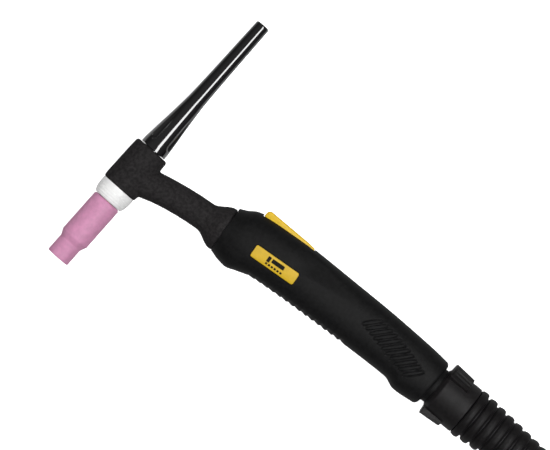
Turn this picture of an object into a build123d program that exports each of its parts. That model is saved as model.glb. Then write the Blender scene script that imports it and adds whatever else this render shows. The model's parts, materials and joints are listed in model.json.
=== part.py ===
from build123d import *
import os
from math import cos, radians, sin, tan

# Air-cooled TIG welding torch, lying on its side.
# The head's axis is Y, with the nozzle's mouth at the origin and the back cap towards +Y.
# The handle runs towards +X.  Z is across the torch, and its plane of symmetry is Z = 0.
# Lengths in millimetres, angles in degrees.

# ---- fits and gaps ----
THREAD_FIT = 0.05       # radial, between a thread and its mate (threads are drawn plain)
RUNNING_FIT = 0.08      # radial, round pins and the ball
SLIP_GAP = 0.3          # between pieces that pass or face each other

# ---- nozzle, gasket and electrode ----
NOZZLE_LENGTH = 47.6
NOZZLE_TIP_RADIUS = 8.0
NOZZLE_TIP_LENGTH = 12.6
NOZZLE_TAPER_LENGTH = 3.9
NOZZLE_BODY_RADIUS = 9.85
NOZZLE_MOUTH_RADIUS = 5.55
NOZZLE_CHAMBER_RADIUS = 7.2
NOZZLE_THREAD_LENGTH = 9.6
GASKET_HEIGHT = 11.0
GASKET_TOP_RADIUS = 12.0
ELECTRODE_RADIUS = 1.2
ELECTRODE_SPARE = 14.4          # of the cap's bore behind the electrode
ELECTRODE_RECESS = 4.5
ELECTRODE_POINT_LENGTH = 5.0

# ---- collet and collet body ----
COLLET_WALL = 1.1
COLLET_STAND = 1.2              # of the collet's tail behind the collet body
COLLET_NOSE_LENGTH = 3.0
COLLET_SLIT = 0.5
COLLET_SLIT_LENGTH = 18.0
COLLET_BODY_WALL = 1.9
COLLET_BODY_FRONT = 22.0        # from the nozzle's mouth
COLLET_BODY_SHANK_LENGTH = 15.5
COLLET_BODY_SHANK_WALL = 2.4
NOZZLE_THREAD_WALL = 3.8
GAS_HOLE_RADIUS = 0.9

# ---- head ----
HEAD_RADIUS = 12.8
HEAD_HEIGHT = 31.9
HEAD_TOP_ROUND = 3.0
HEAD_BOTTOM_ROUND = 1.0
CORE_WALL = 2.5
CORE_SPIGOT_LENGTH = 3.0
CORE_TOP_DEPTH = 1.0            # of the core's top below the cover's top

# ---- back cap ----
CAP_LENGTH = 105.8
CAP_FLANGE_RADIUS = 9.45
CAP_SHAFT_RADIUS = 5.85
CAP_END_RADIUS = 4.85
CAP_SHOULDER_LENGTH = 43.5      # from the flange to the slim shaft
CAP_END_ROUND = 1.6
CAP_END_WALL = 3.0
CAP_THREAD_WALL = 3.0
CAP_FLUTE_COUNT = 4
CAP_FLUTE_RADIUS = 3.3
CAP_FLUTE_DEPTH = 1.7
CAP_FLANGE_WIDTH = 4.5
CAP_FLUTE_TURN = 57.0           # the first flute, from +X towards -Z
ORING_SECTION = 1.0             # radius of the ring's own section

# ---- neck ----
TUBE_RADIUS = 4.5
TUBE_BORE = 3.0
NECK_RADIUS = 9.6
NECK_ROOT = 5.65                # the neck's line crosses the head's axis this far below the head's middle
NECK_ROOT_ANGLE = 17.5
NECK_END_ANGLE = 6.4
NECK_ROOT_LENGTH = 12.58
NECK_BEND_RADIUS = 210.0
NECK_STRAIGHT = 1.0             # from the bend to the collar's flare
COLLAR_RADIUS = 15.2
COLLAR_LENGTH = 15.2
COLLAR_FLANGE_RADIUS = 12.6
COLLAR_FLANGE_WIDTH = 3.0
TUBE_END = 57.0                 # from the collar's face into the handle
ADAPTOR_RADIUS = 7.0
ADAPTOR_LENGTH = 20.0

# ---- handle ----
HANDLE_LENGTH = 163.7
HANDLE_WALL = 2.4
HANDLE_RIM = 4.0                # thickness of the front wall round the neck
HANDLE_RISE = 14.7              # the rear joint's height over the collar's centre
GRIP_OVER_COLLAR = 1.56         # of the front's reference radius over the collar's
SOCKET_WALL = 1.8               # round the ball's seat
HANDLE_END_ROUND = 2.5
FRONT_BLOCK = 10.5              # solid stretch behind the collar's face
TOOTH_PITCH = 5.04
TOOTH_DEPTH = 0.8
TOOTH_COUNT = 15
TOOTH_HALF_WIDTH = 9.0
TOOTH_FROM_COLLAR = 29.0
TOOTH_CREST = 1.2               # of the pitch, before a notch is deepest
RIB_COUNT = 11
RIB_PITCH = 4.06
RIB_FROM_REAR = 55.2
RIB_RISE = 3.9                  # of the first rib's middle over the grip's middle
RIB_FALL = 7.1                  # from the first rib to the last
RIB_ARCH = 0.8                  # of the middle ribs over the line from first to last
RIB_LENGTH = 14.6
RIB_SWELL = 2.2                 # of the middle ribs' length
RIB_WIDTH = 1.9
RIB_HEIGHT = 0.6
RIB_SLANT = 49.5
SCREW_RADIUS = 1.5
SCREW_HEAD_RADIUS = 2.8
SCREW_HEAD_HEIGHT = 2.0
SCREW_SEAT = 9.5                # the heads' seats, from the parting plane
SCREW_TIP = 8.0
SCREW_INSET = 6.5               # of the screws from the grip's upper or lower edge
BOSS_WALL = 1.2

# ---- label ----
LABEL_LENGTH = 32.5
LABEL_WIDTH = 8.5
LABEL_TILT = 6.5
LABEL_THICKNESS = 0.8
LABEL_SINK = 0.25
LABEL_FROM_COLLAR = 38.3
LABEL_BELOW_DATUM = 9.9

# ---- trigger and its switch ----
TRIGGER_LENGTH = 38.3
TRIGGER_WIDTH = 13.2
TRIGGER_FROM_COLLAR = 12.9
TRIGGER_TOP = 2.3               # below the grip's reference top
TRIGGER_DEPTH = 5.8
TRIGGER_SKIN = 2.2
TRIGGER_SKIRT = 1.6
TRIGGER_NOSE_ROUND = 2.5
PIN_RADIUS = 1.5
PIN_FROM_REAR = 5.2
PIN_BELOW_TOP = 5.8
PIN_BOSS_WALL = 1.7
SPRING_WIRE = 0.35
SPRING_TURNS = 5
SPRING_LOWER_LEG = 3.6
SPRING_UPPER_LEG = 6.1
SWITCH_LENGTH = 20.0
SWITCH_WIDTH = 6.4
SWITCH_HEIGHT = 7.2
PLUNGER_ARM = 14.0
PLUNGER_RADIUS = 1.2
PLUNGER_STAND = 1.9             # of the button over the switch's top
PLUNGER_TRAVEL = 1.3
TAG_LENGTH = 2.8

# ---- rear joint ----
BALL_RADIUS = 13.4
BALL_DEPTH = 4.0                # the ball's centre inside the handle's end
BALL_FRONT = 9.5
SEAT_WALL = 1.4
SEAT_FRONT = 5.5
SEAT_REAR = 2.4
REAR_ANGLE = 2.4
TAIL_INSET = 0.9                # of the tail's side inside the ball's
TAIL_LENGTH = 24.0              # from the ball's centre
TAIL_WALL = 4.0                 # from the tail's thread to the boot's bore
NUT_FRONT = 7.9                 # of the lugs, from the ball's centre
NUT_NOSE = 0.8                  # of the nut's cone before the lugs
NUT_CONE = 2.8
NUT_LENGTH = 23.3
NUT_LUG_LENGTH = 15.6
NUT_BODY_WALL = 3.7
LUG_HEIGHT = 3.5
LUG_TAPER = 1.0                 # of the lugs' height towards the rear
LUG_HALF_ANGLE = 39.0
LUG_TURN = 17.0                 # of the lugs, from +Y towards +Z and from -Y towards -Z
LUG_GROOVES = 4
WASHER_THICKNESS = 1.1
BOOT_FLANGE_THICKNESS = 1.8
BOOT_SLEEVE_WALL = 2.3
BOOT_RING_COUNT = 8
BOOT_RING_PITCH = 7.3
BOOT_RING_WIDTH = 5.2
BOOT_RING_RADIUS = 17.5
BOOT_END_RADIUS = 13.2
BOOT_GROOVE_DEPTH = 2.9
BOOT_TIP_LENGTH = 4.0

# ---- stations along the head's axis ----
gasket_bottom = NOZZLE_LENGTH + SLIP_GAP
head_bottom = gasket_bottom + GASKET_HEIGHT
head_top = head_bottom + HEAD_HEIGHT
core_bottom = head_bottom - CORE_SPIGOT_LENGTH
core_top = head_top - CORE_TOP_DEPTH
cap_bottom = head_top + SLIP_GAP
cap_top = cap_bottom + CAP_LENGTH

# ---- radii that follow from each other ----
tail_radius = BALL_RADIUS - TAIL_INSET
cable_bore = tail_radius - TAIL_WALL
collet_bore = ELECTRODE_RADIUS + THREAD_FIT
collet_radius = collet_bore + COLLET_WALL
body_bore = collet_radius + 0.1
body_radius = body_bore + COLLET_BODY_WALL
nozzle_thread_radius = body_bore + NOZZLE_THREAD_WALL
nozzle_thread_bore = nozzle_thread_radius + THREAD_FIT
shank_radius = body_bore + COLLET_BODY_SHANK_WALL
core_radius = shank_radius + CORE_WALL
cap_bore = ELECTRODE_RADIUS + 0.6
cap_thread_radius = cap_bore + CAP_THREAD_WALL
oring_groove_radius = cap_thread_radius - 0.3
oring_radius = oring_groove_radius + 0.1 + ORING_SECTION
oring_pocket_radius = oring_radius + ORING_SECTION + 0.1
cap_plug_radius = oring_pocket_radius - 0.2
collet_front = COLLET_BODY_FRONT + 2.5
shank_top = head_bottom + COLLET_BODY_SHANK_LENGTH
collet_top = shank_top + COLLET_STAND
cap_nose = collet_top + 0.2
oring_y = core_top - ORING_SECTION - 0.9

# ---- the neck's line: straight out of the head, a long bend, straight into the handle ----
head_middle = (head_bottom + head_top) / 2
neck_start = Vector(0, head_middle - NECK_ROOT)
root_way = Vector(cos(radians(NECK_ROOT_ANGLE)), sin(radians(NECK_ROOT_ANGLE)))
end_way = Vector(cos(radians(NECK_END_ANGLE)), sin(radians(NECK_END_ANGLE)))
bend_start = neck_start + root_way * NECK_ROOT_LENGTH
bend_end = bend_start + Vector(end_way.Y - root_way.Y, root_way.X - end_way.X) * -NECK_BEND_RADIUS
collar_centre = bend_end + end_way * (NECK_STRAIGHT + COLLAR_LENGTH)
tube_end = collar_centre + end_way * TUBE_END
neck_frame = Location((collar_centre.X, collar_centre.Y, 0), (0, 0, NECK_END_ANGLE))

# ---- handle's reference sizes ----
grip_radius = COLLAR_RADIUS + GRIP_OVER_COLLAR
rear_radius = BALL_RADIUS + RUNNING_FIT + SEAT_WALL + RUNNING_FIT + SOCKET_WALL
grip_front = collar_centre.X
grip_rear = grip_front + HANDLE_LENGTH
grip_y = collar_centre.Y + HANDLE_RISE
grip_top = grip_y + grip_radius
ball_x = grip_rear - BALL_DEPTH
rear_frame = Location((ball_x, grip_y, 0), (0, 0, REAR_ANGLE))
seat_radius = BALL_RADIUS + RUNNING_FIT + SEAT_WALL

# ---- the rear joint's stations from the ball, and its radii ----
washer_start = TAIL_LENGTH + 0.1
flange_start = washer_start + WASHER_THICKNESS + 0.1
flange_end = flange_start + BOOT_FLANGE_THICKNESS
nut_rear = NUT_FRONT + NUT_LENGTH
sleeve_radius = cable_bore + BOOT_SLEEVE_WALL
thread_radius = tail_radius + THREAD_FIT
nut_radius = thread_radius + NUT_BODY_WALL

# ---- trigger's places ----
trigger_front = grip_front + TRIGGER_FROM_COLLAR
trigger_rear = trigger_front + TRIGGER_LENGTH
trigger_y = grip_top - TRIGGER_TOP
pin_x = trigger_rear - PIN_FROM_REAR
pin_y = trigger_y - PIN_BELOW_TOP
plunger_x = pin_x - PLUNGER_ARM
plunger_top = trigger_y - TRIGGER_DEPTH - SLIP_GAP - 0.6
switch_top = plunger_top - PLUNGER_STAND


def turned_y(points):
    """A solid of revolution about Y from (radius, y) points."""
    return revolve(make_face(Polyline(*points, close=True)), Axis.Y)


def turned_x(points):
    """A solid of revolution about X from (x, radius) points."""
    return revolve(make_face(Polyline(*points, close=True)), Axis.X)


def rod_y(radius, low, high):
    """A cylinder on the head's axis from y = low to y = high."""
    return Pos(0, (low + high) / 2, 0) * Rot(90, 0, 0) * Cylinder(radius, high - low)


def rod_x(radius, low, high):
    """A cylinder on the local X axis from x = low to x = high."""
    return Pos((low + high) / 2, 0, 0) * Rot(0, 90, 0) * Cylinder(radius, high - low)


def rod_z(x, y, radius, low, high):
    """A cylinder across the torch at (x, y) from z = low to z = high."""
    return Pos(x, y, (low + high) / 2) * Cylinder(radius, high - low)


def block(x_low, x_high, y_low, y_high, half_width):
    """A block that is symmetrical about the torch's middle plane."""
    middle = Pos((x_low + x_high) / 2, (y_low + y_high) / 2, 0)
    return middle * Box(x_high - x_low, y_high - y_low, 2 * half_width)


def across(points, half_width):
    """The closed outline through (x, y) points, drawn out to both sides of the middle plane."""
    return extrude(make_face(Polyline(*points, close=True)), half_width, both=True)


# ---------------------------------------------------------------- consumables
def nozzle():
    taper_end = NOZZLE_TIP_LENGTH + NOZZLE_TAPER_LENGTH
    thread_start = NOZZLE_LENGTH - NOZZLE_THREAD_LENGTH
    return turned_y([
        (NOZZLE_MOUTH_RADIUS, 0.5),
        (NOZZLE_MOUTH_RADIUS + 0.5, 0),
        (NOZZLE_TIP_RADIUS - 0.6, 0),
        (NOZZLE_TIP_RADIUS, 0.6),
        (NOZZLE_TIP_RADIUS, NOZZLE_TIP_LENGTH),
        (NOZZLE_BODY_RADIUS, taper_end),
        (NOZZLE_BODY_RADIUS, NOZZLE_LENGTH - 1.2),
        (NOZZLE_BODY_RADIUS - 0.8, NOZZLE_LENGTH),
        (nozzle_thread_bore, NOZZLE_LENGTH),
        (nozzle_thread_bore, thread_start),
        (NOZZLE_CHAMBER_RADIUS, thread_start - 1.5),
        (NOZZLE_CHAMBER_RADIUS, taper_end),
        (NOZZLE_MOUTH_RADIUS, NOZZLE_TIP_LENGTH),
    ])


def cup_gasket():
    """A domed ring whose lower lip is as wide as the nozzle's rim."""
    lip = NOZZLE_BODY_RADIUS - 0.2
    dome = ThreePointArc(
        (lip, gasket_bottom),
        (GASKET_TOP_RADIUS - 0.7, gasket_bottom + 0.3 * GASKET_HEIGHT),
        (GASKET_TOP_RADIUS, head_bottom - 1.0),
    )
    bore = shank_radius + SLIP_GAP
    pocket = core_radius + SLIP_GAP
    pocket_floor = core_bottom - SLIP_GAP
    rest = Polyline(
        (GASKET_TOP_RADIUS, head_bottom - 1.0),
        (GASKET_TOP_RADIUS, head_bottom),
        (pocket, head_bottom),
        (pocket, pocket_floor),
        (bore, pocket_floor),
        (bore, gasket_bottom),
        (lip, gasket_bottom),
    )
    return revolve(make_face(dome + rest), Axis.Y)


def electrode():
    tip = ELECTRODE_RECESS
    end = cap_top - CAP_END_WALL - ELECTRODE_SPARE
    return turned_y([
        (0, tip),
        (0.2, tip),
        (ELECTRODE_RADIUS, tip + ELECTRODE_POINT_LENGTH),
        (ELECTRODE_RADIUS, end),
        (0, end),
    ])


def collet():
    """A tube with a tapered, cross-slit nose that closes on the electrode."""
    body = turned_y([
        (collet_bore, collet_front),
        (collet_radius - 0.7, collet_front),
        (collet_radius, collet_front + COLLET_NOSE_LENGTH),
        (collet_radius, collet_top),
        (collet_bore, collet_top),
    ])
    slit_y = collet_front + COLLET_SLIT_LENGTH / 2
    for turn in (0, 90):
        slit = Box(COLLET_SLIT, COLLET_SLIT_LENGTH, 3 * collet_radius)
        body -= Pos(0, slit_y - 0.5, 0) * Rot(0, turn, 0) * slit
    return body


def collet_body():
    """Threaded shank for the head, nozzle thread, and a thin front with four gas holes."""
    thread_start = NOZZLE_LENGTH - NOZZLE_THREAD_LENGTH
    shoulder = NOZZLE_LENGTH - 0.4
    seat = ELECTRODE_RADIUS + 0.5
    body = turned_y([
        (seat, COLLET_BODY_FRONT),
        (body_radius - 0.8, COLLET_BODY_FRONT),
        (body_radius, COLLET_BODY_FRONT + 1.0),
        (body_radius, thread_start),
        (nozzle_thread_radius, thread_start),
        (nozzle_thread_radius, shoulder),
        (shank_radius, shoulder),
        (shank_radius, shank_top),
        (body_bore, shank_top),
        (body_bore, collet_front + COLLET_NOSE_LENGTH),
        (body_bore - 0.7, collet_front),
        (seat, collet_front - 0.3),
    ])
    hole_y = (collet_front + COLLET_NOSE_LENGTH + thread_start) / 2
    for turn in (0, 90):
        body -= Pos(0, hole_y, 0) * Rot(0, turn, 0) * Cylinder(GAS_HOLE_RADIUS, 4 * body_radius)
    return body


# ---------------------------------------------------------------- head and neck
def neck_line(end):
    """The neck's centre line from the head's axis to a point on its straight end."""
    root = Line(neck_start, bend_start)
    bend = TangentArc(bend_start, bend_end, tangent=root_way)
    return root + bend + Line(bend_end, end)


def along_neck(radius, end):
    """A round bar that follows the neck's centre line."""
    start = Plane(origin=neck_start, z_dir=root_way)
    return sweep(start * Circle(radius), path=neck_line(end))


def core_blank():
    return rod_y(core_radius, core_bottom, core_top)


def head_core():
    """Brass block: collet body thread in front, cap thread behind, gas way from the tube."""
    pocket_floor = oring_y - ORING_SECTION - 0.6
    body = core_blank()
    body -= rod_y(shank_radius + THREAD_FIT, core_bottom - 1, shank_top + 0.5)
    body -= rod_y(collet_radius + 0.5, core_bottom, core_top)
    body -= rod_y(cap_thread_radius + THREAD_FIT, cap_nose - 0.5, core_top + 1)
    body -= rod_y(oring_pocket_radius, pocket_floor, core_top + 1)
    gas_way_end = neck_start + root_way * (2 * core_radius)
    gas_way = Plane(origin=neck_start, z_dir=root_way) * Circle(TUBE_BORE * 0.6)
    body -= sweep(gas_way, path=Line(neck_start, gas_way_end))
    return body


def neck_tube():
    tube = along_neck(TUBE_RADIUS, tube_end) - along_neck(TUBE_BORE, tube_end)
    return tube - core_blank()


def collar():
    """The cover's flared end, the waist in the handle's rim and the flange behind it."""
    waist = SLIP_GAP + HANDLE_RIM + 2 * SLIP_GAP
    flare = Spline(
        (-COLLAR_LENGTH, NECK_RADIUS),
        (-0.53 * COLLAR_LENGTH, (NECK_RADIUS + COLLAR_RADIUS) / 2 + 0.2),
        (-1.5, COLLAR_RADIUS),
        tangents=[(1, 0), (1, 0)],
    )
    rest = Polyline(
        (-1.5, COLLAR_RADIUS),
        (-0.4, COLLAR_RADIUS - 0.3),
        (0, COLLAR_RADIUS - 1.0),
        (0, NECK_RADIUS),
        (waist, NECK_RADIUS),
        (waist, COLLAR_FLANGE_RADIUS),
        (waist + COLLAR_FLANGE_WIDTH, COLLAR_FLANGE_RADIUS),
        (waist + COLLAR_FLANGE_WIDTH, 0),
        (-COLLAR_LENGTH, 0),
        (-COLLAR_LENGTH, NECK_RADIUS),
    )
    return neck_frame * revolve(make_face(flare + rest), Axis.X)


def head_cover():
    barrel = rod_y(HEAD_RADIUS, head_bottom, head_top)
    barrel = fillet(barrel.edges().sort_by(Axis.Y)[-1:], HEAD_TOP_ROUND)
    barrel = fillet(barrel.edges().sort_by(Axis.Y)[:1], HEAD_BOTTOM_ROUND)
    neck_stop = collar_centre + end_way * -COLLAR_LENGTH
    cover = barrel + along_neck(NECK_RADIUS, neck_stop) + collar()
    cover -= rod_y(cap_plug_radius + SLIP_GAP, core_top - 1, head_top + 1)
    return cover - core_blank() - along_neck(TUBE_RADIUS, tube_end)


# ---------------------------------------------------------------- back cap
def cap_oring():
    return Pos(0, oring_y, 0) * Rot(90, 0, 0) * Torus(oring_radius, ORING_SECTION)


def back_cap():
    shoulder_y = cap_bottom + CAP_SHOULDER_LENGTH
    middle_radius = (CAP_FLANGE_RADIUS + CAP_SHAFT_RADIUS) / 2
    groove_low = oring_y - ORING_SECTION - 0.15
    groove_high = oring_y + ORING_SECTION + 0.15
    flank = Spline(
        (CAP_FLANGE_RADIUS, cap_bottom + CAP_FLANGE_WIDTH),
        (middle_radius, cap_bottom + CAP_FLANGE_WIDTH + (CAP_SHOULDER_LENGTH - CAP_FLANGE_WIDTH) * 0.46),
        (CAP_SHAFT_RADIUS, shoulder_y),
        tangents=[(-0.12, 1), (-0.03, 1)],
    )
    rest = Polyline(
        (CAP_SHAFT_RADIUS, shoulder_y),
        (CAP_END_RADIUS, cap_top - CAP_END_ROUND),
        (CAP_END_RADIUS - CAP_END_ROUND * 0.3, cap_top - CAP_END_ROUND * 0.3),
        (CAP_END_RADIUS - CAP_END_ROUND, cap_top),
        (0, cap_top),
        (0, cap_top - CAP_END_WALL),
        (cap_bore, cap_top - CAP_END_WALL),
        (cap_bore, cap_nose),
        (cap_thread_radius, cap_nose),
        (cap_thread_radius, groove_low),
        (oring_groove_radius, groove_low),
        (oring_groove_radius, groove_high),
        (cap_plug_radius, groove_high),
        (cap_plug_radius, cap_bottom),
        (CAP_FLANGE_RADIUS - 0.6, cap_bottom),
        (CAP_FLANGE_RADIUS, cap_bottom + 0.6),
        (CAP_FLANGE_RADIUS, cap_bottom + CAP_FLANGE_WIDTH),
    )
    cap = revolve(make_face(flank + rest), Axis.Y)
    # round-ended flutes that start over the flange and run out on the shoulder
    flute_low = cap_bottom + CAP_FLANGE_WIDTH + CAP_FLUTE_RADIUS
    flute_high = shoulder_y + 6
    lean = (CAP_FLANGE_RADIUS - CAP_SHAFT_RADIUS) * 0.42
    low_radius = CAP_FLANGE_RADIUS - CAP_FLUTE_DEPTH + CAP_FLUTE_RADIUS
    start = Vector(low_radius, flute_low, 0)
    way = (Vector(low_radius - lean, flute_high, 0) - start).normalized()
    length = flute_high - flute_low
    bar = Plane(origin=start + way * (length / 2), z_dir=way) * Cylinder(CAP_FLUTE_RADIUS, length)
    flute = bar + Pos(*start) * Sphere(CAP_FLUTE_RADIUS)
    for index in range(CAP_FLUTE_COUNT):
        cap -= Rot(0, CAP_FLUTE_TURN + 360 / CAP_FLUTE_COUNT * index, 0) * flute
    return cap


# ---------------------------------------------------------------- handle
def grip_stations():
    """x, the grip's lower and upper edges and its half width, from its front to its end."""
    front = [
        (-3.5, 12.0, -15.7, -1.6),
        (2.7, 13.3, -12.4, -0.7),
        (8.5, 14.7, -8.4, 0.3),
        (14.5, 15.2, -6.6, 0.7),
        (22.5, 12.4, -5.5, 0.8),
        (30.5, 9.5, -4.6, 0.8),
        (48.5, 7.1, -2.7, 0.8),
        (82.5, 3.9, -1.1, 0.5),
    ]
    rear = [
        (-41.2, 0.6, 0.3, 0.3),
        (-26.2, -0.1, 0.4, 0.3),
        (-17.2, 2.3, 0.4, 0.3),
        (0, 0.1, -0.3, 0.1),
    ]
    stations = []
    for rows, start, radius in ((front, grip_front, grip_radius), (rear, grip_rear, rear_radius)):
        for x, below, above, side in rows:
            stations.append((start + x, grip_y - radius - below, grip_y + radius + above, radius + side))
    return stations


def grip_form(grow=0.0):
    """The grip's outer form, grown evenly by grow."""
    sections = []
    for x, lower, upper, side in grip_stations():
        low = lower - grow
        high = upper + grow
        half = side + grow
        height = high - low
        corner = min(height / 2, half) - 1.2
        middle = Plane(origin=(x, (low + high) / 2, 0), x_dir=(0, 1, 0), z_dir=(1, 0, 0))
        sections.append(middle * RectangleRounded(height, 2 * half, corner))
    return loft(sections)


def grip_outside():
    """The grip's form with its end rounded and its front cut square to the neck."""
    form = grip_form()
    form = fillet(form.faces().sort_by(Axis.X)[-1].edges(), HANDLE_END_ROUND)
    reach = 4 * grip_radius
    front_cut = neck_frame * Pos(SLIP_GAP - reach / 2, 0, 0) * Box(reach, 3 * reach, reach)
    return form - front_cut


def grip_edges(x):
    """The grip's lower and upper edges at x, taken straight between its stations."""
    rows = grip_stations()
    for near, far in zip(rows[:-1], rows[1:]):
        if x <= far[0]:
            break
    share = (x - near[0]) / (far[0] - near[0])
    low = near[1] + share * (far[1] - near[1])
    high = near[2] + share * (far[2] - near[2])
    return low, high


def finger_teeth():
    """Saw-tooth notches along the lower edge."""
    start = grip_front + TOOTH_FROM_COLLAR
    notches = []
    for index in range(TOOTH_COUNT):
        x = start + index * TOOTH_PITCH
        front_edge = grip_edges(x)[0]
        rear_edge = grip_edges(x + TOOTH_PITCH)[0]
        notches.append(across([
            (x, front_edge - 2.5),
            (x + TOOTH_PITCH, rear_edge - 2.5),
            (x + TOOTH_PITCH, rear_edge - 0.2),
            (x + TOOTH_CREST, front_edge + TOOTH_DEPTH),
            (x, front_edge - 0.2),
        ], TOOTH_HALF_WIDTH))
    return notches


def side_ribs():
    """Slanted lens-shaped ribs on both sides of the grip's rear."""
    ribs = []
    reach = grip_radius + 5
    for index in range(RIB_COUNT):
        share = index / (RIB_COUNT - 1)
        swell = sin(radians(180 * share))
        length = RIB_LENGTH + RIB_SWELL * swell
        x = grip_rear - RIB_FROM_REAR + index * RIB_PITCH
        y = grip_y + RIB_RISE - RIB_FALL * share + RIB_ARCH * swell
        half = length / 2
        lens = make_face(
            ThreePointArc((-half, 0), (0, RIB_WIDTH / 2), (half, 0))
            + ThreePointArc((half, 0), (0, -RIB_WIDTH / 2), (-half, 0))
        )
        ribs.append(Pos(x, y, 0) * Rot(0, 0, RIB_SLANT) * extrude(lens, reach, both=True))
    skin = grip_form(RIB_HEIGHT) - grip_form(-1.0)
    return [rib & skin for rib in ribs]


def screw_places():
    """Two screws by the lower edge and two by the upper one."""
    front_low = grip_front + 19.0
    front_high = grip_front + 61.0
    rear_low = grip_rear - 66.0
    rear_high = grip_rear - 28.0
    return [
        (front_low, grip_edges(front_low)[0] + SCREW_INSET),
        (front_high, grip_edges(front_high)[1] - SCREW_INSET),
        (rear_low, grip_edges(rear_low)[0] + SCREW_INSET),
        (rear_high, grip_edges(rear_high)[1] - SCREW_INSET),
    ]


def label_outline(gap):
    """A prism through the grip's near side over the label, wider by gap all round."""
    middle = Pos(grip_front + LABEL_FROM_COLLAR, grip_y - LABEL_BELOW_DATUM, 0) * Rot(0, 0, LABEL_TILT)
    outline = RectangleRounded(LABEL_LENGTH + 2 * gap, LABEL_WIDTH + 2 * gap, 1.0 + gap)
    return middle * extrude(outline, grip_radius + 10)


def switch_block(gap):
    half_length = SWITCH_LENGTH / 2 + gap
    return block(
        plunger_x - half_length,
        plunger_x + half_length,
        switch_top - SWITCH_HEIGHT - gap,
        switch_top + gap,
        SWITCH_WIDTH / 2 + gap,
    )


def handle_inside(outside):
    """Bosses and ribs that stand in the hollow handle."""
    reach = grip_radius + 5
    boss_radius = SCREW_HEAD_RADIUS + SLIP_GAP + BOSS_WALL
    pin_boss = PIN_RADIUS + PIN_BOSS_WALL
    boss_start = TRIGGER_WIDTH / 2 + SLIP_GAP
    parts = [rod_z(x, y, boss_radius, -reach, reach) for x, y in screw_places()]
    parts.append(rod_z(pin_x, pin_y, pin_boss, boss_start, reach))
    parts.append(rod_z(pin_x, pin_y, pin_boss, -reach, -boss_start))
    # two ribs that hold the switch by its ends
    for side in (-1, 1):
        middle = plunger_x + side * (SWITCH_LENGTH / 2 - 1)
        low = switch_top - SWITCH_HEIGHT - 1.6
        parts.append(block(middle - 1, middle + 1, low, switch_top - 2.5, reach))
    return [part & outside for part in parts]


def neck_passage():
    """The hole through the handle's front wall and the groove for the collar's flange."""
    groove = SLIP_GAP + HANDLE_RIM
    groove_width = 2 * SLIP_GAP + COLLAR_FLANGE_WIDTH + SLIP_GAP
    passage = rod_x(NECK_RADIUS + SLIP_GAP, -1, FRONT_BLOCK + 4)
    passage += rod_x(COLLAR_FLANGE_RADIUS + SLIP_GAP, groove, groove + groove_width)
    return neck_frame * passage


def ball_socket():
    """The hollow for the ball and its seat ring, open to the cable space and to the end."""
    pocket_radius = seat_radius + RUNNING_FIT
    throat_radius = BALL_RADIUS + SLIP_GAP
    socket = rod_x(throat_radius, -SEAT_FRONT - 6, BALL_DEPTH + 3)
    socket += rod_x(pocket_radius, -SEAT_FRONT - SLIP_GAP, SEAT_REAR + SLIP_GAP)
    socket += turned_x([
        (SEAT_REAR + 0.6, 0),
        (SEAT_REAR + 0.6, BALL_RADIUS),
        (BALL_DEPTH + 0.6, BALL_RADIUS + 1.6),
        (BALL_DEPTH + 3, BALL_RADIUS + 1.6),
        (BALL_DEPTH + 3, 0),
    ])
    return rear_frame * socket


def trigger_slot():
    half = TRIGGER_WIDTH / 2 + SLIP_GAP
    low = trigger_y - TRIGGER_DEPTH - 4
    return block(trigger_front - 0.5, trigger_rear + 0.5, low, grip_top + 5, half)


def whole_handle():
    outside = grip_outside()
    reach = 2 * grip_radius
    hollow_front = grip_front + FRONT_BLOCK
    hollow_rear = ball_x - SEAT_FRONT - 5
    hollow = grip_form(-HANDLE_WALL)
    hollow &= block(hollow_front, hollow_rear, grip_y - reach, grip_y + reach, reach)
    label_floor = grip_form(-LABEL_SINK - LABEL_THICKNESS)
    handle = outside - hollow
    for part in handle_inside(outside):
        handle += part
    for rib in side_ribs():
        handle += rib
    for notch in finger_teeth():
        handle -= notch
    handle -= label_outline(SLIP_GAP) - label_floor
    handle -= trigger_slot()
    handle -= switch_block(0.1)
    handle -= neck_passage()
    handle -= ball_socket()
    handle -= rod_z(pin_x, pin_y, PIN_RADIUS + 0.02, -pin_half_length(), pin_half_length())
    for x, y in screw_places():
        handle -= rod_z(x, y, SCREW_RADIUS + THREAD_FIT, -reach, SCREW_TIP + SLIP_GAP)
        handle -= rod_z(x, y, SCREW_HEAD_RADIUS + SLIP_GAP, -reach, -SCREW_SEAT)
    return handle


def pin_half_length():
    return TRIGGER_WIDTH / 2 + SLIP_GAP + 3.0


def handle_half(handle, side):
    """The half of the handle on one side (1 or -1) of the parting plane."""
    reach = 2 * HANDLE_LENGTH
    half = handle & Pos(grip_front, grip_y, side * reach / 2) * Box(2 * reach, reach, reach)
    return Compound(half.solids().sort_by(SortBy.VOLUME)[-1:])


def handle_screws():
    screws = []
    for x, y in screw_places():
        shank = rod_z(x, y, SCREW_RADIUS, -SCREW_SEAT, SCREW_TIP)
        head = rod_z(x, y, SCREW_HEAD_RADIUS, -SCREW_SEAT - SCREW_HEAD_HEIGHT, -SCREW_SEAT)
        socket = Pos(x, y, -SCREW_SEAT - SCREW_HEAD_HEIGHT) * Box(3.2, 0.8, 2.0)
        cross = Pos(x, y, -SCREW_SEAT - SCREW_HEAD_HEIGHT) * Box(0.8, 3.2, 2.0)
        screws.append(shank + head - socket - cross)
    return Compound([screw.solid() for screw in screws])


def label_plate():
    plate = label_outline(0) & grip_form(-LABEL_SINK)
    return plate - grip_form(-LABEL_SINK - LABEL_THICKNESS)


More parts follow.
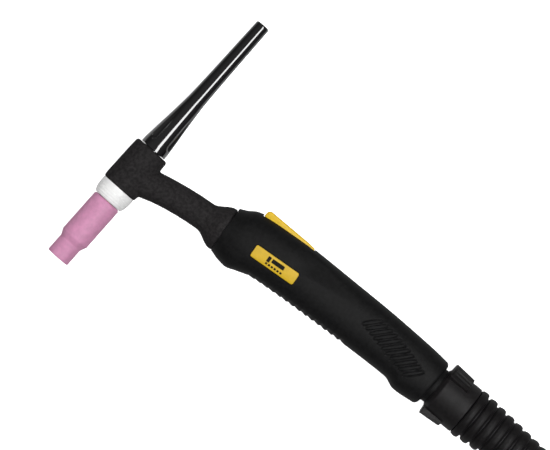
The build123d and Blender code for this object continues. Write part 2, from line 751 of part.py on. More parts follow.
# ---------------------------------------------------------------- trigger and switch
def trigger():
    half = TRIGGER_WIDTH / 2
    low = trigger_y - TRIGGER_DEPTH
    ceiling = trigger_y - TRIGGER_SKIN
    pocket_end = pin_x - PIN_RADIUS - 2.4
    outline = across([
        (trigger_front, low),
        (trigger_front, trigger_y - 0.5),
        (trigger_rear - 6, trigger_y + 0.3),
        (trigger_rear, trigger_y),
        (trigger_rear, trigger_y - 3.0),
        (pin_x + 2.0, low - 3.2),
        (pin_x - 2.5, low - 3.2),
        (pocket_end - 2.0, low),
    ], half)
    upper_front = outline.edges().filter_by(Axis.Z).group_by(Axis.X)[0].sort_by(Axis.Y)[-1]
    lever = fillet(upper_front, TRIGGER_NOSE_ROUND)
    inner = half - TRIGGER_SKIRT
    pocket = block(trigger_front + TRIGGER_SKIRT, pocket_end, low - 5, ceiling, inner)
    lever -= pocket
    lever += block(plunger_x - 0.8, plunger_x + 0.8, plunger_top + SLIP_GAP, ceiling + 0.5, inner + 0.2)
    spring_room = SPRING_WIRE * SPRING_TURNS + 1.0
    lever -= block(pocket_end - 1, pin_x + 3.8, low - 5, ceiling, spring_room)
    return lever - rod_z(pin_x, pin_y, PIN_RADIUS + RUNNING_FIT, -half - 1, half + 1)


def trigger_pin():
    half = pin_half_length() - 0.2
    return rod_z(pin_x, pin_y, PIN_RADIUS, -half, half)


def trigger_spring():
    """Torsion coil round the pin, one wire with one leg forward and one leg down."""
    coil_radius = PIN_RADIUS + 0.5 + SPRING_WIRE
    pitch = 2 * SPRING_WIRE + 0.1
    height = pitch * SPRING_TURNS
    coil = Helix(pitch, height, coil_radius)
    lower = Line(coil @ 0 - (coil % 0) * SPRING_LOWER_LEG, coil @ 0)
    upper = Line(coil @ 1, coil @ 1 + (coil % 1) * SPRING_UPPER_LEG)
    wire = Wire([lower, coil, upper])
    spring = sweep(Plane(origin=wire @ 0, z_dir=wire % 0) * Circle(SPRING_WIRE), path=wire)
    return Pos(pin_x, pin_y, -height / 2) * Rot(0, 0, 90) * spring


def switch_body():
    case = fillet(switch_block(0).edges().filter_by(Axis.Z), 0.6)
    hole_low = switch_top - PLUNGER_TRAVEL - 2.2
    hole = Pos(plunger_x, (hole_low + switch_top) / 2, 0) * Rot(90, 0, 0)
    return case - hole * Cylinder(PLUNGER_RADIUS + RUNNING_FIT, switch_top - hole_low)


def switch_plunger():
    low = switch_top - 1.8
    middle = Pos(plunger_x, (low + plunger_top) / 2, 0) * Rot(90, 0, 0)
    button = middle * Cylinder(PLUNGER_RADIUS, plunger_top - low)
    return chamfer(button.edges().sort_by(Axis.Y)[-1:], 0.3)


def switch_terminals():
    top = switch_top - SWITCH_HEIGHT
    tags = []
    for offset in (-7.2, 0, 7.2):
        x = plunger_x + offset
        tag = block(x - 0.25, x + 0.25, top - TAG_LENGTH, top, 1.6)
        tags.append(tag - Pos(x, top - 0.6 * TAG_LENGTH, 0) * Rot(0, 90, 0) * Cylinder(0.6, 2))
    return Compound([tag.solid() for tag in tags])


def cable_adaptor():
    """Hexagon, threaded spigot and bore: it seats over the tube's end."""
    overlap = 8.0
    seat = TUBE_END - overlap
    across_flats = RegularPolygon(ADAPTOR_RADIUS, 6, major_radius=False)
    hexagon = Rot(0, 90, 0) * extrude(across_flats, 0.45 * ADAPTOR_LENGTH)
    body = Pos(seat, 0, 0) * hexagon
    body += rod_x(ADAPTOR_RADIUS - 2.0, seat, seat + ADAPTOR_LENGTH)
    body -= rod_x(TUBE_RADIUS, seat - 1, TUBE_END)
    body -= rod_x(TUBE_BORE - 0.5, seat - 1, seat + ADAPTOR_LENGTH + 1)
    return neck_frame * body


# ---------------------------------------------------------------- rear joint, along its own X from the ball
def ball_seat():
    """Ring with a spherical inside, slit so that it snaps over the ball."""
    ring = rod_x(seat_radius, -SEAT_FRONT, SEAT_REAR) - Sphere(BALL_RADIUS + RUNNING_FIT)
    ring -= Pos(0, -seat_radius, 0) * Box(4 * SEAT_FRONT, 4 * SEAT_WALL, 1.2)
    return rear_frame * ring


def ball_knuckle():
    """Hollow ball with a threaded tail."""
    reach = 3 * BALL_RADIUS
    ball = Sphere(BALL_RADIUS) - Pos(-BALL_FRONT - reach / 2, 0, 0) * Box(reach, reach, reach)
    tail = rod_x(tail_radius, 2, TAIL_LENGTH)
    tail = chamfer(tail.edges().sort_by(Axis.X)[-1:], 0.5)
    return rear_frame * (ball + tail - rod_x(cable_bore + 0.5, -reach, reach))


def swivel_nut():
    """Nut with a chamfered front, a plain rear collar and two opposite ribbed grip lugs."""
    lug_end = NUT_FRONT + NUT_LUG_LENGTH
    nut = turned_x([
        (NUT_FRONT - NUT_NOSE, thread_radius),
        (NUT_FRONT - NUT_NOSE, nut_radius - NUT_CONE),
        (NUT_FRONT - NUT_NOSE + NUT_CONE, nut_radius),
        (nut_rear - 0.8, nut_radius + 0.5),
        (nut_rear, nut_radius - 0.3),
        (nut_rear, sleeve_radius + 0.2),
        (flange_end + 0.1, sleeve_radius + 0.2),
        (flange_end + 0.1, thread_radius),
    ])
    lug_radius = nut_radius + LUG_HEIGHT
    band = turned_x([
        (NUT_FRONT, nut_radius - 3),
        (NUT_FRONT, lug_radius - 0.5),
        (NUT_FRONT + 0.6, lug_radius),
        (lug_end - 0.8, lug_radius - LUG_TAPER),
        (lug_end, lug_radius - LUG_TAPER - 0.8),
        (lug_end, nut_radius - 3),
    ])
    band -= rod_x(thread_radius, 0, nut_rear)
    reach = 2 * lug_radius
    half_width = reach * tan(radians(LUG_HALF_ANGLE))
    wedge = make_face(Polyline((0, 0), (reach, half_width), (reach, -half_width), close=True))
    for side in (0, 180):
        turn = Rot(side + LUG_TURN, 0, 0)
        sector = extrude(Plane.YZ * wedge, nut_rear)
        lug = band & sector
        for groove in range(LUG_GROOVES):
            angle = LUG_HALF_ANGLE * (2 * (groove + 0.5) / LUG_GROOVES - 1) * 0.8
            ridge_gap = Pos(NUT_FRONT + NUT_LUG_LENGTH / 2 + 1.2, 0, 0) * Rot(angle, 0, 0)
            lug -= ridge_gap * Pos(0, lug_radius, 0) * Box(NUT_LUG_LENGTH, 2 * LUG_TAPER + 1.2, 1.6)
        nut += turn * lug
    return rear_frame * nut


def clamp_washer():
    washer = rod_x(tail_radius - 0.2, washer_start, washer_start + WASHER_THICKNESS)
    return rear_frame * (washer - rod_x(cable_bore + 0.6, 0, 2 * TAIL_LENGTH))


def bend_boot():
    """Flange and sleeve inside the nut, then full-round rings on a tapering core."""
    rings_start = nut_rear + SLIP_GAP
    rings_end = rings_start + BOOT_RING_COUNT * BOOT_RING_PITCH
    tip = rings_end + BOOT_TIP_LENGTH
    end_core = BOOT_END_RADIUS - BOOT_GROOVE_DEPTH * 0.6
    boot = turned_x([
        (flange_start, 0),
        (flange_start, tail_radius - 0.2),
        (flange_end, tail_radius - 0.2),
        (flange_end, sleeve_radius),
        (rings_start, sleeve_radius),
        (rings_start, BOOT_RING_RADIUS - BOOT_GROOVE_DEPTH),
        (rings_end, end_core),
        (tip - 1.0, end_core),
        (tip, end_core - 1.0),
        (tip, 0),
    ])
    for index in range(BOOT_RING_COUNT):
        share = index / (BOOT_RING_COUNT - 1)
        radius = BOOT_RING_RADIUS + share * (BOOT_END_RADIUS - BOOT_RING_RADIUS)
        start = rings_start + index * BOOT_RING_PITCH
        ring = rod_x(radius, start, start + BOOT_RING_WIDTH)
        boot += fillet(ring.edges().filter_by(GeomType.CIRCLE), BOOT_RING_WIDTH * 0.4)
    return rear_frame * (boot - rod_x(cable_bore, 0, 2 * tip))


# ---------------------------------------------------------------- files
os.makedirs("parts", exist_ok=True)
handle = whole_handle()
pieces = {
    "nozzle": nozzle(),
    "cup_gasket": cup_gasket(),
    "collet_body": collet_body(),
    "collet": collet(),
    "electrode": electrode(),
    "head_core": head_core(),
    "neck_tube": neck_tube(),
    "head_cover": head_cover(),
    "back_cap": back_cap(),
    "cap_oring": cap_oring(),
    "handle_left": handle_half(handle, 1),
    "handle_right": handle_half(handle, -1),
    "handle_screws": handle_screws(),
    "label_plate": label_plate(),
    "trigger": trigger(),
    "trigger_pin": trigger_pin(),
    "trigger_spring": trigger_spring(),
    "switch_body": switch_body(),
    "switch_plunger": switch_plunger(),
    "switch_terminals": switch_terminals(),
    "cable_adaptor": cable_adaptor(),
    "ball_seat": ball_seat(),
    "ball_knuckle": ball_knuckle(),
    "swivel_nut": swivel_nut(),
    "clamp_washer": clamp_washer(),
    "bend_boot": bend_boot(),
}
for node, shape in pieces.items():
    export_step(shape, f"parts/{node}.step")
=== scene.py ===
import json
import math

import bmesh
import bpy
import numpy as np
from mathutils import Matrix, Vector


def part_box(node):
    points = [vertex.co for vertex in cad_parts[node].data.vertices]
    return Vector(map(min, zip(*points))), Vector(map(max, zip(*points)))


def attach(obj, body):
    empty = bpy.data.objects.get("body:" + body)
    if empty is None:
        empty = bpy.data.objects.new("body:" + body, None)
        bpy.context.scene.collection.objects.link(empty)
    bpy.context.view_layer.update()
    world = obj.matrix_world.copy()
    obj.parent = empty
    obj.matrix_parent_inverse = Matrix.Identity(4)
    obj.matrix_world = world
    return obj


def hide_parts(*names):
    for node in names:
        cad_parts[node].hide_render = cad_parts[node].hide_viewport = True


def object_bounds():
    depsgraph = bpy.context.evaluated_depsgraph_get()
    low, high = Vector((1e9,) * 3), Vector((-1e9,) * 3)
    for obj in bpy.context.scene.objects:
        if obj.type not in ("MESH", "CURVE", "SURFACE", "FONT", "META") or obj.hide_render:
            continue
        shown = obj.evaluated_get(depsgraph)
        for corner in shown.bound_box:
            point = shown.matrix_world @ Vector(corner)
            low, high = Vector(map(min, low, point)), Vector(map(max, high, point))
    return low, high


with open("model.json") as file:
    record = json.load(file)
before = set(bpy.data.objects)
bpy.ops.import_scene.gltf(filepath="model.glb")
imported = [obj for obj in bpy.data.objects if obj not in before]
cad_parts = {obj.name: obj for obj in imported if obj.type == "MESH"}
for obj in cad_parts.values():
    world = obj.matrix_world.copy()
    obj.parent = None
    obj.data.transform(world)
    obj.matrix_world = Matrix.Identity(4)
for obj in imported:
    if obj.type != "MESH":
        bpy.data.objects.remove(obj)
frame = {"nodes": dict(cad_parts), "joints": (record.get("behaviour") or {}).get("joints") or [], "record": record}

cad_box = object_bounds()

# The torch's sizes are in millimetres, and MM turns them into Blender's metres.
MM = 0.001
SIDE = np.array([0.0, 0.0, 1.0])    # square to the torch's middle plane


def node_box(node):
    """A CAD node's lowest and highest corners, in millimetres."""
    low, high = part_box(node)
    return np.array(low) / MM, np.array(high) / MM


def joint(name):
    return next(j for j in frame["joints"] if j["name"] == name)


# ---------------------------------------------------------------- camera and light, in metres
CAMERA_HEIGHT = 2.6
CAMERA_ROLL = 41.6          # in degrees: turns the back cap to the upper right
CAMERA_X = 0.0896
CAMERA_Y = 0.1069
PICTURE_SPAN = 0.349        # width of the view on the torch's middle plane
SENSOR = 36.0
FLOOR_REACH = 3.0
LIGHT_TARGET = (0.12, 0.10, 0)


def add_camera():
    """Straight above the torch, far enough away to show it almost without perspective."""
    data = bpy.data.cameras.new("camera")
    data.sensor_width = SENSOR
    data.lens = SENSOR * CAMERA_HEIGHT / PICTURE_SPAN
    data.clip_end = 10
    camera = bpy.data.objects.new("camera", data)
    bpy.context.scene.collection.objects.link(camera)
    camera.location = (CAMERA_X, CAMERA_Y, CAMERA_HEIGHT)
    camera.rotation_euler = (0, 0, math.radians(CAMERA_ROLL))
    bpy.context.scene.camera = camera


def add_softbox(name, place, size, power, mirrored=True):
    """A rectangular light turned to the torch. mirrored says whether glossy surfaces show it."""
    data = bpy.data.lights.new(name, "AREA")
    data.shape = "RECTANGLE"
    data.size, data.size_y = size
    data.energy = power
    light = bpy.data.objects.new(name, data)
    bpy.context.scene.collection.objects.link(light)
    light.location = place
    light.visible_glossy = mirrored
    light.rotation_euler = (Vector(LIGHT_TARGET) - Vector(place)).to_track_quat("-Z", "Y").to_euler()


def add_world(overhead, around, below):
    """A studio with a lit ceiling, dim walls and a bright table."""
    world = bpy.data.worlds.new("studio")
    world.use_nodes = True
    tree = world.node_tree
    background = tree.nodes["Background"]
    place = tree.nodes.new("ShaderNodeTexCoord")
    split = tree.nodes.new("ShaderNodeSeparateXYZ")
    rise = tree.nodes.new("ShaderNodeMapRange")
    rise.inputs["From Min"].default_value = -1.0
    rise.inputs["From Max"].default_value = 1.0
    levels = tree.nodes.new("ShaderNodeValToRGB")
    levels.color_ramp.elements[0].position = 0.32
    levels.color_ramp.elements[0].color = (below, below, below, 1)
    levels.color_ramp.elements[1].position = 0.95
    levels.color_ramp.elements[1].color = (overhead, overhead, overhead, 1)
    for position in (0.44, 0.65):
        levels.color_ramp.elements.new(position).color = (around, around, around, 1)
    tree.links.new(place.outputs["Generated"], split.inputs["Vector"])
    tree.links.new(split.outputs["Z"], rise.inputs["Value"])
    tree.links.new(rise.outputs["Result"], levels.inputs["Fac"])
    tree.links.new(levels.outputs["Color"], background.inputs["Color"])
    background.inputs["Strength"].default_value = 1.0
    bpy.context.scene.world = world


def add_floor():
    """A plain pale table at the torch's lowest point."""
    level = cad_box[0].z
    corners = [(x * FLOOR_REACH, y * FLOOR_REACH, level) for x, y in ((-1, -1), (1, -1), (1, 1), (-1, 1))]
    mesh = bpy.data.meshes.new("floor")
    mesh.from_pydata(corners, [], [(0, 1, 2, 3)])
    floor = bpy.data.objects.new("floor", mesh)
    bpy.context.scene.collection.objects.link(floor)
    material = bpy.data.materials.new("floor_pale")
    material.use_nodes = True
    shader = material.node_tree.nodes["Principled BSDF"]
    shader.inputs["Base Color"].default_value = (0.95, 0.95, 0.95, 1)
    shader.inputs["Roughness"].default_value = 0.8
    shader.inputs["Emission Color"].default_value = (1, 1, 1, 1)
    shader.inputs["Emission Strength"].default_value = 0.9
    floor.data.materials.append(material)
    floor.visible_glossy = False
    floor.visible_diffuse = False


# ---------------------------------------------------------------- materials
COAT_ROUGHNESS = 0.04
SCATTER_DEPTH = 0.0012      # in metres
SCRATCH_STRETCH = 0.06      # scratches run along Y


def surface(name, colour, rough, vary=0.15, mottle=900.0, grain=4000.0, bump=0.02,
            bump_depth=0.00005, metal=0.0, specular=0.5, coat=0.0, scatter=0.0, scratch=0.0):
    """A procedural finish: mottled colour, uneven roughness and a fine grain in the bump.
    mottle and grain are noise scales per metre; scratch adds long fine marks to the roughness."""
    material = bpy.data.materials.new(name)
    material.use_nodes = True
    tree = material.node_tree
    shader = tree.nodes["Principled BSDF"]
    shader.inputs["Metallic"].default_value = metal
    shader.inputs["Specular IOR Level"].default_value = specular
    shader.inputs["Coat Weight"].default_value = coat
    shader.inputs["Coat Roughness"].default_value = COAT_ROUGHNESS
    if scatter:
        shader.inputs["Subsurface Weight"].default_value = scatter
        shader.inputs["Subsurface Radius"].default_value = (1.0, 1.0, 1.0)
        shader.inputs["Subsurface Scale"].default_value = SCATTER_DEPTH

    def add(kind, **values):
        node = tree.nodes.new(kind)
        for key, value in values.items():
            if key in node.inputs:
                node.inputs[key].default_value = value
            else:
                setattr(node, key, value)
        return node

    def link(source, target):
        tree.links.new(source, target)

    place = add("ShaderNodeTexCoord").outputs["Object"]
    blotch = add("ShaderNodeTexNoise", Scale=mottle, Detail=5.0, Roughness=0.6)
    link(place, blotch.inputs["Vector"])
    ramp = add("ShaderNodeValToRGB")
    dark = [c * (1 - vary) for c in colour]
    light = [min(1.0, c * (1 + vary)) for c in colour]
    ramp.color_ramp.elements[0].position = 0.38
    ramp.color_ramp.elements[0].color = (*dark, 1)
    ramp.color_ramp.elements[1].position = 0.62
    ramp.color_ramp.elements[1].color = (*light, 1)
    link(blotch.outputs["Fac"], ramp.inputs["Fac"])
    link(ramp.outputs["Color"], shader.inputs["Base Color"])

    wear = add("ShaderNodeMapRange")
    wear.inputs["To Min"].default_value = max(0.02, rough * 0.85)
    wear.inputs["To Max"].default_value = min(1.0, rough * 1.2)
    if scratch:
        stretch = add("ShaderNodeMapping")
        stretch.inputs["Scale"].default_value = (scratch, scratch * SCRATCH_STRETCH, scratch)
        link(place, stretch.inputs["Vector"])
        marks = add("ShaderNodeTexNoise", Scale=1.0, Detail=4.0, Roughness=0.7)
        link(stretch.outputs["Vector"], marks.inputs["Vector"])
        link(marks.outputs["Fac"], wear.inputs["Value"])
    else:
        link(blotch.outputs["Fac"], wear.inputs["Value"])
    link(wear.outputs["Result"], shader.inputs["Roughness"])

    pits = add("ShaderNodeTexNoise", Scale=grain, Detail=3.0, Roughness=0.55)
    link(place, pits.inputs["Vector"])
    relief = add("ShaderNodeBump", Strength=bump, Distance=bump_depth)
    link(pits.outputs["Fac"], relief.inputs["Height"])
    link(relief.outputs["Normal"], shader.inputs["Normal"])
    return material


def make_materials():
    """One finish for each slot of the record, and the ink of the label's mark."""
    return {
        "pink_ceramic": surface("pink_ceramic", (0.58, 0.262, 0.418), 0.5, vary=0.07, mottle=260, grain=5200,
                                bump=0.3, bump_depth=0.00006, specular=0.3, scatter=0.12),
        "white_ptfe": surface("white_ptfe", (0.84, 0.84, 0.835), 0.38, vary=0.03, mottle=300, grain=2500,
                              bump=0.1, scatter=0.35),
        "black_silicone": surface("black_silicone", (0.0180, 0.0166, 0.0171), 0.78, vary=0.35, mottle=520,
                                  grain=2600, bump=0.6, bump_depth=0.00012, specular=0.14),
        "gloss_black": surface("gloss_black", (0.0045, 0.0045, 0.0048), 0.07, vary=0.15, mottle=240,
                               grain=400, bump=0.01, bump_depth=0.00001, specular=1.0, coat=1.0, scratch=500),
        "handle_black": surface("handle_black", (0.0060, 0.0060, 0.0062), 0.56, vary=0.25, mottle=420,
                                grain=4200, bump=0.4, bump_depth=0.00006, specular=0.14),
        "nut_black": surface("nut_black", (0.0088, 0.0080, 0.0084), 0.5, vary=0.2, mottle=420, grain=4200,
                             bump=0.35, bump_depth=0.00005, specular=0.2),
        "boot_rubber": surface("boot_rubber", (0.0066, 0.0060, 0.0063), 0.5, vary=0.2, mottle=600,
                               grain=3600, bump=0.4, bump_depth=0.00007, specular=0.2),
        "yellow_plastic": surface("yellow_plastic", (0.66, 0.42, 0.003), 0.42, vary=0.05, mottle=300,
                                  grain=5200, bump=0.25, bump_depth=0.00003),
        "yellow_label": surface("yellow_label", (0.58, 0.37, 0.004), 0.42, vary=0.05, mottle=300, grain=5200,
                                bump=0.15, bump_depth=0.00002),
        "label_ink": surface("label_ink", (0.006, 0.005, 0.004), 0.6, vary=0.2, specular=0.15),
        "copper": surface("copper", (0.72, 0.34, 0.19), 0.3, metal=1, vary=0.12, scratch=3000),
        "brass": surface("brass", (0.70, 0.48, 0.18), 0.3, metal=1, vary=0.12, scratch=3000),
        "tungsten": surface("tungsten", (0.34, 0.34, 0.36), 0.34, metal=1, vary=0.15, scratch=3500),
        "screw_steel": surface("screw_steel", (0.5, 0.5, 0.51), 0.3, metal=1, vary=0.12, scratch=2500),
        "spring_steel": surface("spring_steel", (0.55, 0.55, 0.56), 0.25, metal=1, vary=0.1, scratch=2500),
        "seal_rubber": surface("seal_rubber", (0.01, 0.01, 0.01), 0.45, vary=0.2),
        "switch_black": surface("switch_black", (0.015, 0.015, 0.017), 0.45, vary=0.15),
        "switch_red": surface("switch_red", (0.45, 0.02, 0.012), 0.4, vary=0.08),
        "grey_plastic": surface("grey_plastic", (0.2, 0.2, 0.21), 0.42, vary=0.1),
    }


def dress_cad_nodes(materials):
    """Each CAD node that stays gets the procedural finish of its own slot."""
    for row in frame["record"]["subparts"]:
        node = frame["nodes"][row["node"]]
        node.data.materials.clear()
        node.data.materials.append(materials[row["material_slot"]])
        for face in node.data.polygons:
            face.material_index = 0


# ---------------------------------------------------------------- mesh tools
WELD_DISTANCE = 2e-6        # in metres
BLOCK_FACES = [(0, 1, 3, 2), (4, 6, 7, 5), (0, 4, 5, 1), (2, 3, 7, 6), (0, 2, 6, 4), (1, 5, 7, 3)]


def make_piece(name, points, faces, slot, body, nodes=(), smooth=35.0):
    """A mesh piece from points in millimetres, welded, smoothed, riding on a body."""
    mesh = bpy.data.meshes.new(name)
    mesh.from_pydata([tuple(p) for p in np.asarray(points, float) * MM], [], faces)
    piece = bpy.data.objects.new(name, mesh)
    bpy.context.scene.collection.objects.link(piece)
    work = bmesh.new()
    work.from_mesh(mesh)
    bmesh.ops.remove_doubles(work, verts=work.verts, dist=WELD_DISTANCE)
    bmesh.ops.dissolve_degenerate(work, edges=work.edges, dist=1e-7)
    bmesh.ops.recalc_face_normals(work, faces=work.faces)
    work.to_mesh(mesh)
    work.free()
    if slot:
        finish_piece(piece, slot, body, nodes, smooth)
    return piece


def finish_piece(piece, slot, body, nodes=(), smooth=35.0):
    """Material, smooth shading, body, and the CAD nodes that the piece stands for."""
    piece.data.materials.clear()
    piece.data.materials.append(materials[slot])
    piece.data.shade_smooth()
    if smooth:
        piece.data.set_sharp_from_angle(angle=math.radians(smooth))
    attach(piece, body)
    if nodes:
        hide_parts(*nodes)
    return piece


def eased(points, steps=5):
    """An outline whose corners are rounded: each point is (radius, station, corner radius)."""
    count = len(points)
    result = []
    for i in range(count):
        here = np.array(points[i][:2], float)
        ease = points[i][2] if len(points[i]) > 2 else 0
        if not ease or i in (0, count - 1):
            result.append(here)
            continue
        back = np.array(points[i - 1][:2], float) - here
        ahead = np.array(points[i + 1][:2], float) - here
        back_length, ahead_length = np.linalg.norm(back), np.linalg.norm(ahead)
        back /= back_length
        ahead /= ahead_length
        half = math.acos(max(-1.0, min(1.0, float(back @ ahead)))) / 2
        reach = min(ease / max(math.tan(half), 1e-3), 0.48 * back_length, 0.48 * ahead_length)
        start, end = here + back * reach, here + ahead * reach
        for k in range(steps + 1):
            t = k / steps
            result.append((1 - t) ** 2 * start + 2 * t * (1 - t) * here + t ** 2 * end)
    return np.array(result)


def divided(outline, step):
    """The outline with points no further apart than step."""
    result = [outline[0]]
    for a, b in zip(outline[:-1], outline[1:]):
        parts = max(1, int(math.ceil(np.linalg.norm(b - a) / step)))
        for k in range(1, parts + 1):
            result.append(a + (b - a) * k / parts)
    return np.array(result)


def turned(outline, segments, place, shape=None):
    """Points and faces of a closed solid of revolution. outline is (radius, station) and closes on
    itself. place turns (radius, angle, station) arrays into points; shape may change the radius."""
    angles = np.linspace(0, 2 * math.pi, segments, endpoint=False)
    radius = np.repeat(outline[:, 0][:, None], segments, 1)
    station = np.repeat(outline[:, 1][:, None], segments, 1)
    angle = np.repeat(angles[None, :], len(outline), 0)
    if shape is not None:
        radius = shape(radius, angle, station)
    points = place(radius, angle, station).reshape(-1, 3)
    faces = []
    rows = len(outline)
    for i in range(rows):
        j = (i + 1) % rows
        for k in range(segments):
            m = (k + 1) % segments
            faces.append((i * segments + k, i * segments + m, j * segments + m, j * segments + k))
    return points, faces


def about_head(radius, angle, station):
    """Round the head's axis, Y; angle 0 is +X and 90 degrees is +Z."""
    return np.stack([radius * np.cos(angle), station, radius * np.sin(angle)], -1)


def about_line(origin, way):
    """Round an axis in the torch's middle plane; angle 0 is its upper side and 90 degrees is +Z."""
    origin, way = np.array(origin, float), np.array(way, float)
    up = np.array([-way[1], way[0], 0.0])

    def place(radius, angle, station):
        out = up * np.cos(angle)[..., None] + SIDE * np.sin(angle)[..., None]
        return origin + way * station[..., None] + out * radius[..., None]

    return place


def tube_rows(rows):
    """Faces between equal rings of points, with both ends closed by a fan at the ring's middle."""
    count = len(rows[0])
    points = [p for row in rows for p in row]
    faces = []
    for i in range(len(rows) - 1):
        for k in range(count):
            m = (k + 1) % count
            faces.append((i * count + k, i * count + m, (i + 1) * count + m, (i + 1) * count + k))
    for row_index in (0, len(rows) - 1):
        centre = np.mean(rows[row_index], axis=0)
        hub = len(points)
        points.append(centre)
        base = row_index * count
        for k in range(count):
            faces.append((hub, base + k, base + (k + 1) % count))
    return points, faces


def helper(name, points, faces):
    """A cutter or a blank that isn't part of the torch."""
    return make_piece(name, points, faces, None, None)


def combine(piece, others, how):
    """Applies booleans with other meshes and removes them."""
    for other in others:
        change = piece.modifiers.new("change", "BOOLEAN")
        change.operation = how
        change.solver = "EXACT"
        change.object = other
        apply_modifiers(piece)
        bpy.data.objects.remove(other)
    return piece


def apply_modifiers(piece):
    graph = bpy.context.evaluated_depsgraph_get()
    done = bpy.data.meshes.new_from_object(piece.evaluated_get(graph))
    piece.modifiers.clear()
    piece.data = done


def box_points(x, y, z):
    """A block from its (low, high) pairs."""
    corners = [(a, b, c) for a in x for b in y for c in z]
    return np.array(corners, float), BLOCK_FACES


def circle(x, y, radius, count=40):
    """The (x, y) outline of a circle."""
    turns = np.linspace(0, 2 * math.pi, count, endpoint=False)
    return [(x + radius * math.cos(t), y + radius * math.sin(t)) for t in turns]


def prism(outline, low, high):
    """The (x, y) outline drawn from z = low to z = high."""
    count = len(outline)
    points = [(x, y, low) for x, y in outline] + [(x, y, high) for x, y in outline]
    faces = [tuple(range(count))[::-1], tuple(range(count, 2 * count))]
    for k in range(count):
        m = (k + 1) % count
        faces.append((k, m, count + m, count + k))
    return np.array(points, float), faces


def interpolate(xs, ys, x):
    """Monotone cubic through the points (xs, ys)."""
    xs, ys = np.array(xs, float), np.array(ys, float)
    gap = np.diff(xs)
    rise = np.diff(ys) / gap
    slope = np.zeros(len(xs))
    slope[0], slope[-1] = rise[0], rise[-1]
    for i in range(1, len(xs) - 1):
        if rise[i - 1] * rise[i] > 0:
            w1, w2 = 2 * gap[i] + gap[i - 1], gap[i] + 2 * gap[i - 1]
            slope[i] = (w1 + w2) / (w1 / rise[i - 1] + w2 / rise[i])
    i = np.clip(np.searchsorted(xs, x) - 1, 0, len(xs) - 2)
    t = (x - xs[i]) / gap[i]
    a, b = (1 + 2 * t) * (1 - t) ** 2, t * (1 - t) ** 2
    c, d = t ** 2 * (3 - 2 * t), t ** 2 * (t - 1)
    return a * ys[i] + b * gap[i] * slope[i] + c * ys[i + 1] + d * gap[i] * slope[i + 1]


def smoothstep(low, high, x):
    """0 before low, 1 past high and a smooth rise between them."""
    t = np.clip((x - low) / (high - low), 0, 1)
    return t * t * (3 - 2 * t)


HEAD_HEIGHT = 31.9
HEAD_BOTTOM = node_box("cup_gasket")[1][1]
HEAD_TOP = HEAD_BOTTOM + HEAD_HEIGHT


# ---------------------------------------------------------------- nozzle and gasket
def build_nozzle():
    """A ceramic cup with a slimmer tip, a chamber inside and a threaded bore at its top."""
    body, length, _ = node_box("nozzle")[1]
    tip, mouth, chamber, bore = 8.0, 5.55, 7.2, 6.25
    step_low, step_high, start = 12.6, 16.5, 6.0
    thread_end, chamber_top = length - 9.6, length - 11.1
    outline = eased([
        (mouth, start), (mouth, 0, 0.5), (tip, 0, 0.7), (tip, step_low, 1.6), (body, step_high, 1.6),
        (body, length - 1.1, 0.3), (body - 0.9, length, 0.3), (bore, length, 0.4), (bore, thread_end, 0.2),
        (chamber, chamber_top, 0.3), (chamber, step_high, 0.5), (mouth, step_low, 0.5), (mouth, start),
    ])
    points, faces = turned(outline[:-1], 128, about_head)
    return make_piece("gas_nozzle", points, faces, "pink_ceramic", "nozzle", ["nozzle"])


def build_gasket():
    """A domed ring with faint turning ridges."""
    low, high = node_box("cup_gasket")
    bottom, roof = low[1], high[1]
    rim, lip, bore, recess = high[0] - 0.05, 9.65, 5.1, 7.7
    recess_floor = roof - 3.3
    dome_share, ridge_start, ridge_pitch, ridge_depth = 0.72, 0.1, 0.17, 0.2
    shares = np.linspace(0.0, 1.0, 60)
    fill = np.sqrt(1 - (1 - np.minimum(1, shares / dome_share)) ** 2)
    waves = np.maximum(0, np.cos((shares - 0.16) * 2 * math.pi / ridge_pitch))
    ridges = ridge_depth * waves * (shares > ridge_start) * (shares < dome_share)
    dome = zip(lip + (rim - lip) * fill - ridges, bottom + (roof - 0.8 - bottom) * shares)
    outline = [(bore, bottom, 0)] + [(r, y, 0) for r, y in dome]
    outline += [(rim, roof, 0.4), (recess, roof, 0.2), (recess, recess_floor, 0), (bore, recess_floor, 0)]
    points, faces = turned(eased(outline), 144, about_head)
    return make_piece("ptfe_gasket", points, faces, "white_ptfe", "torch", ["cup_gasket"])


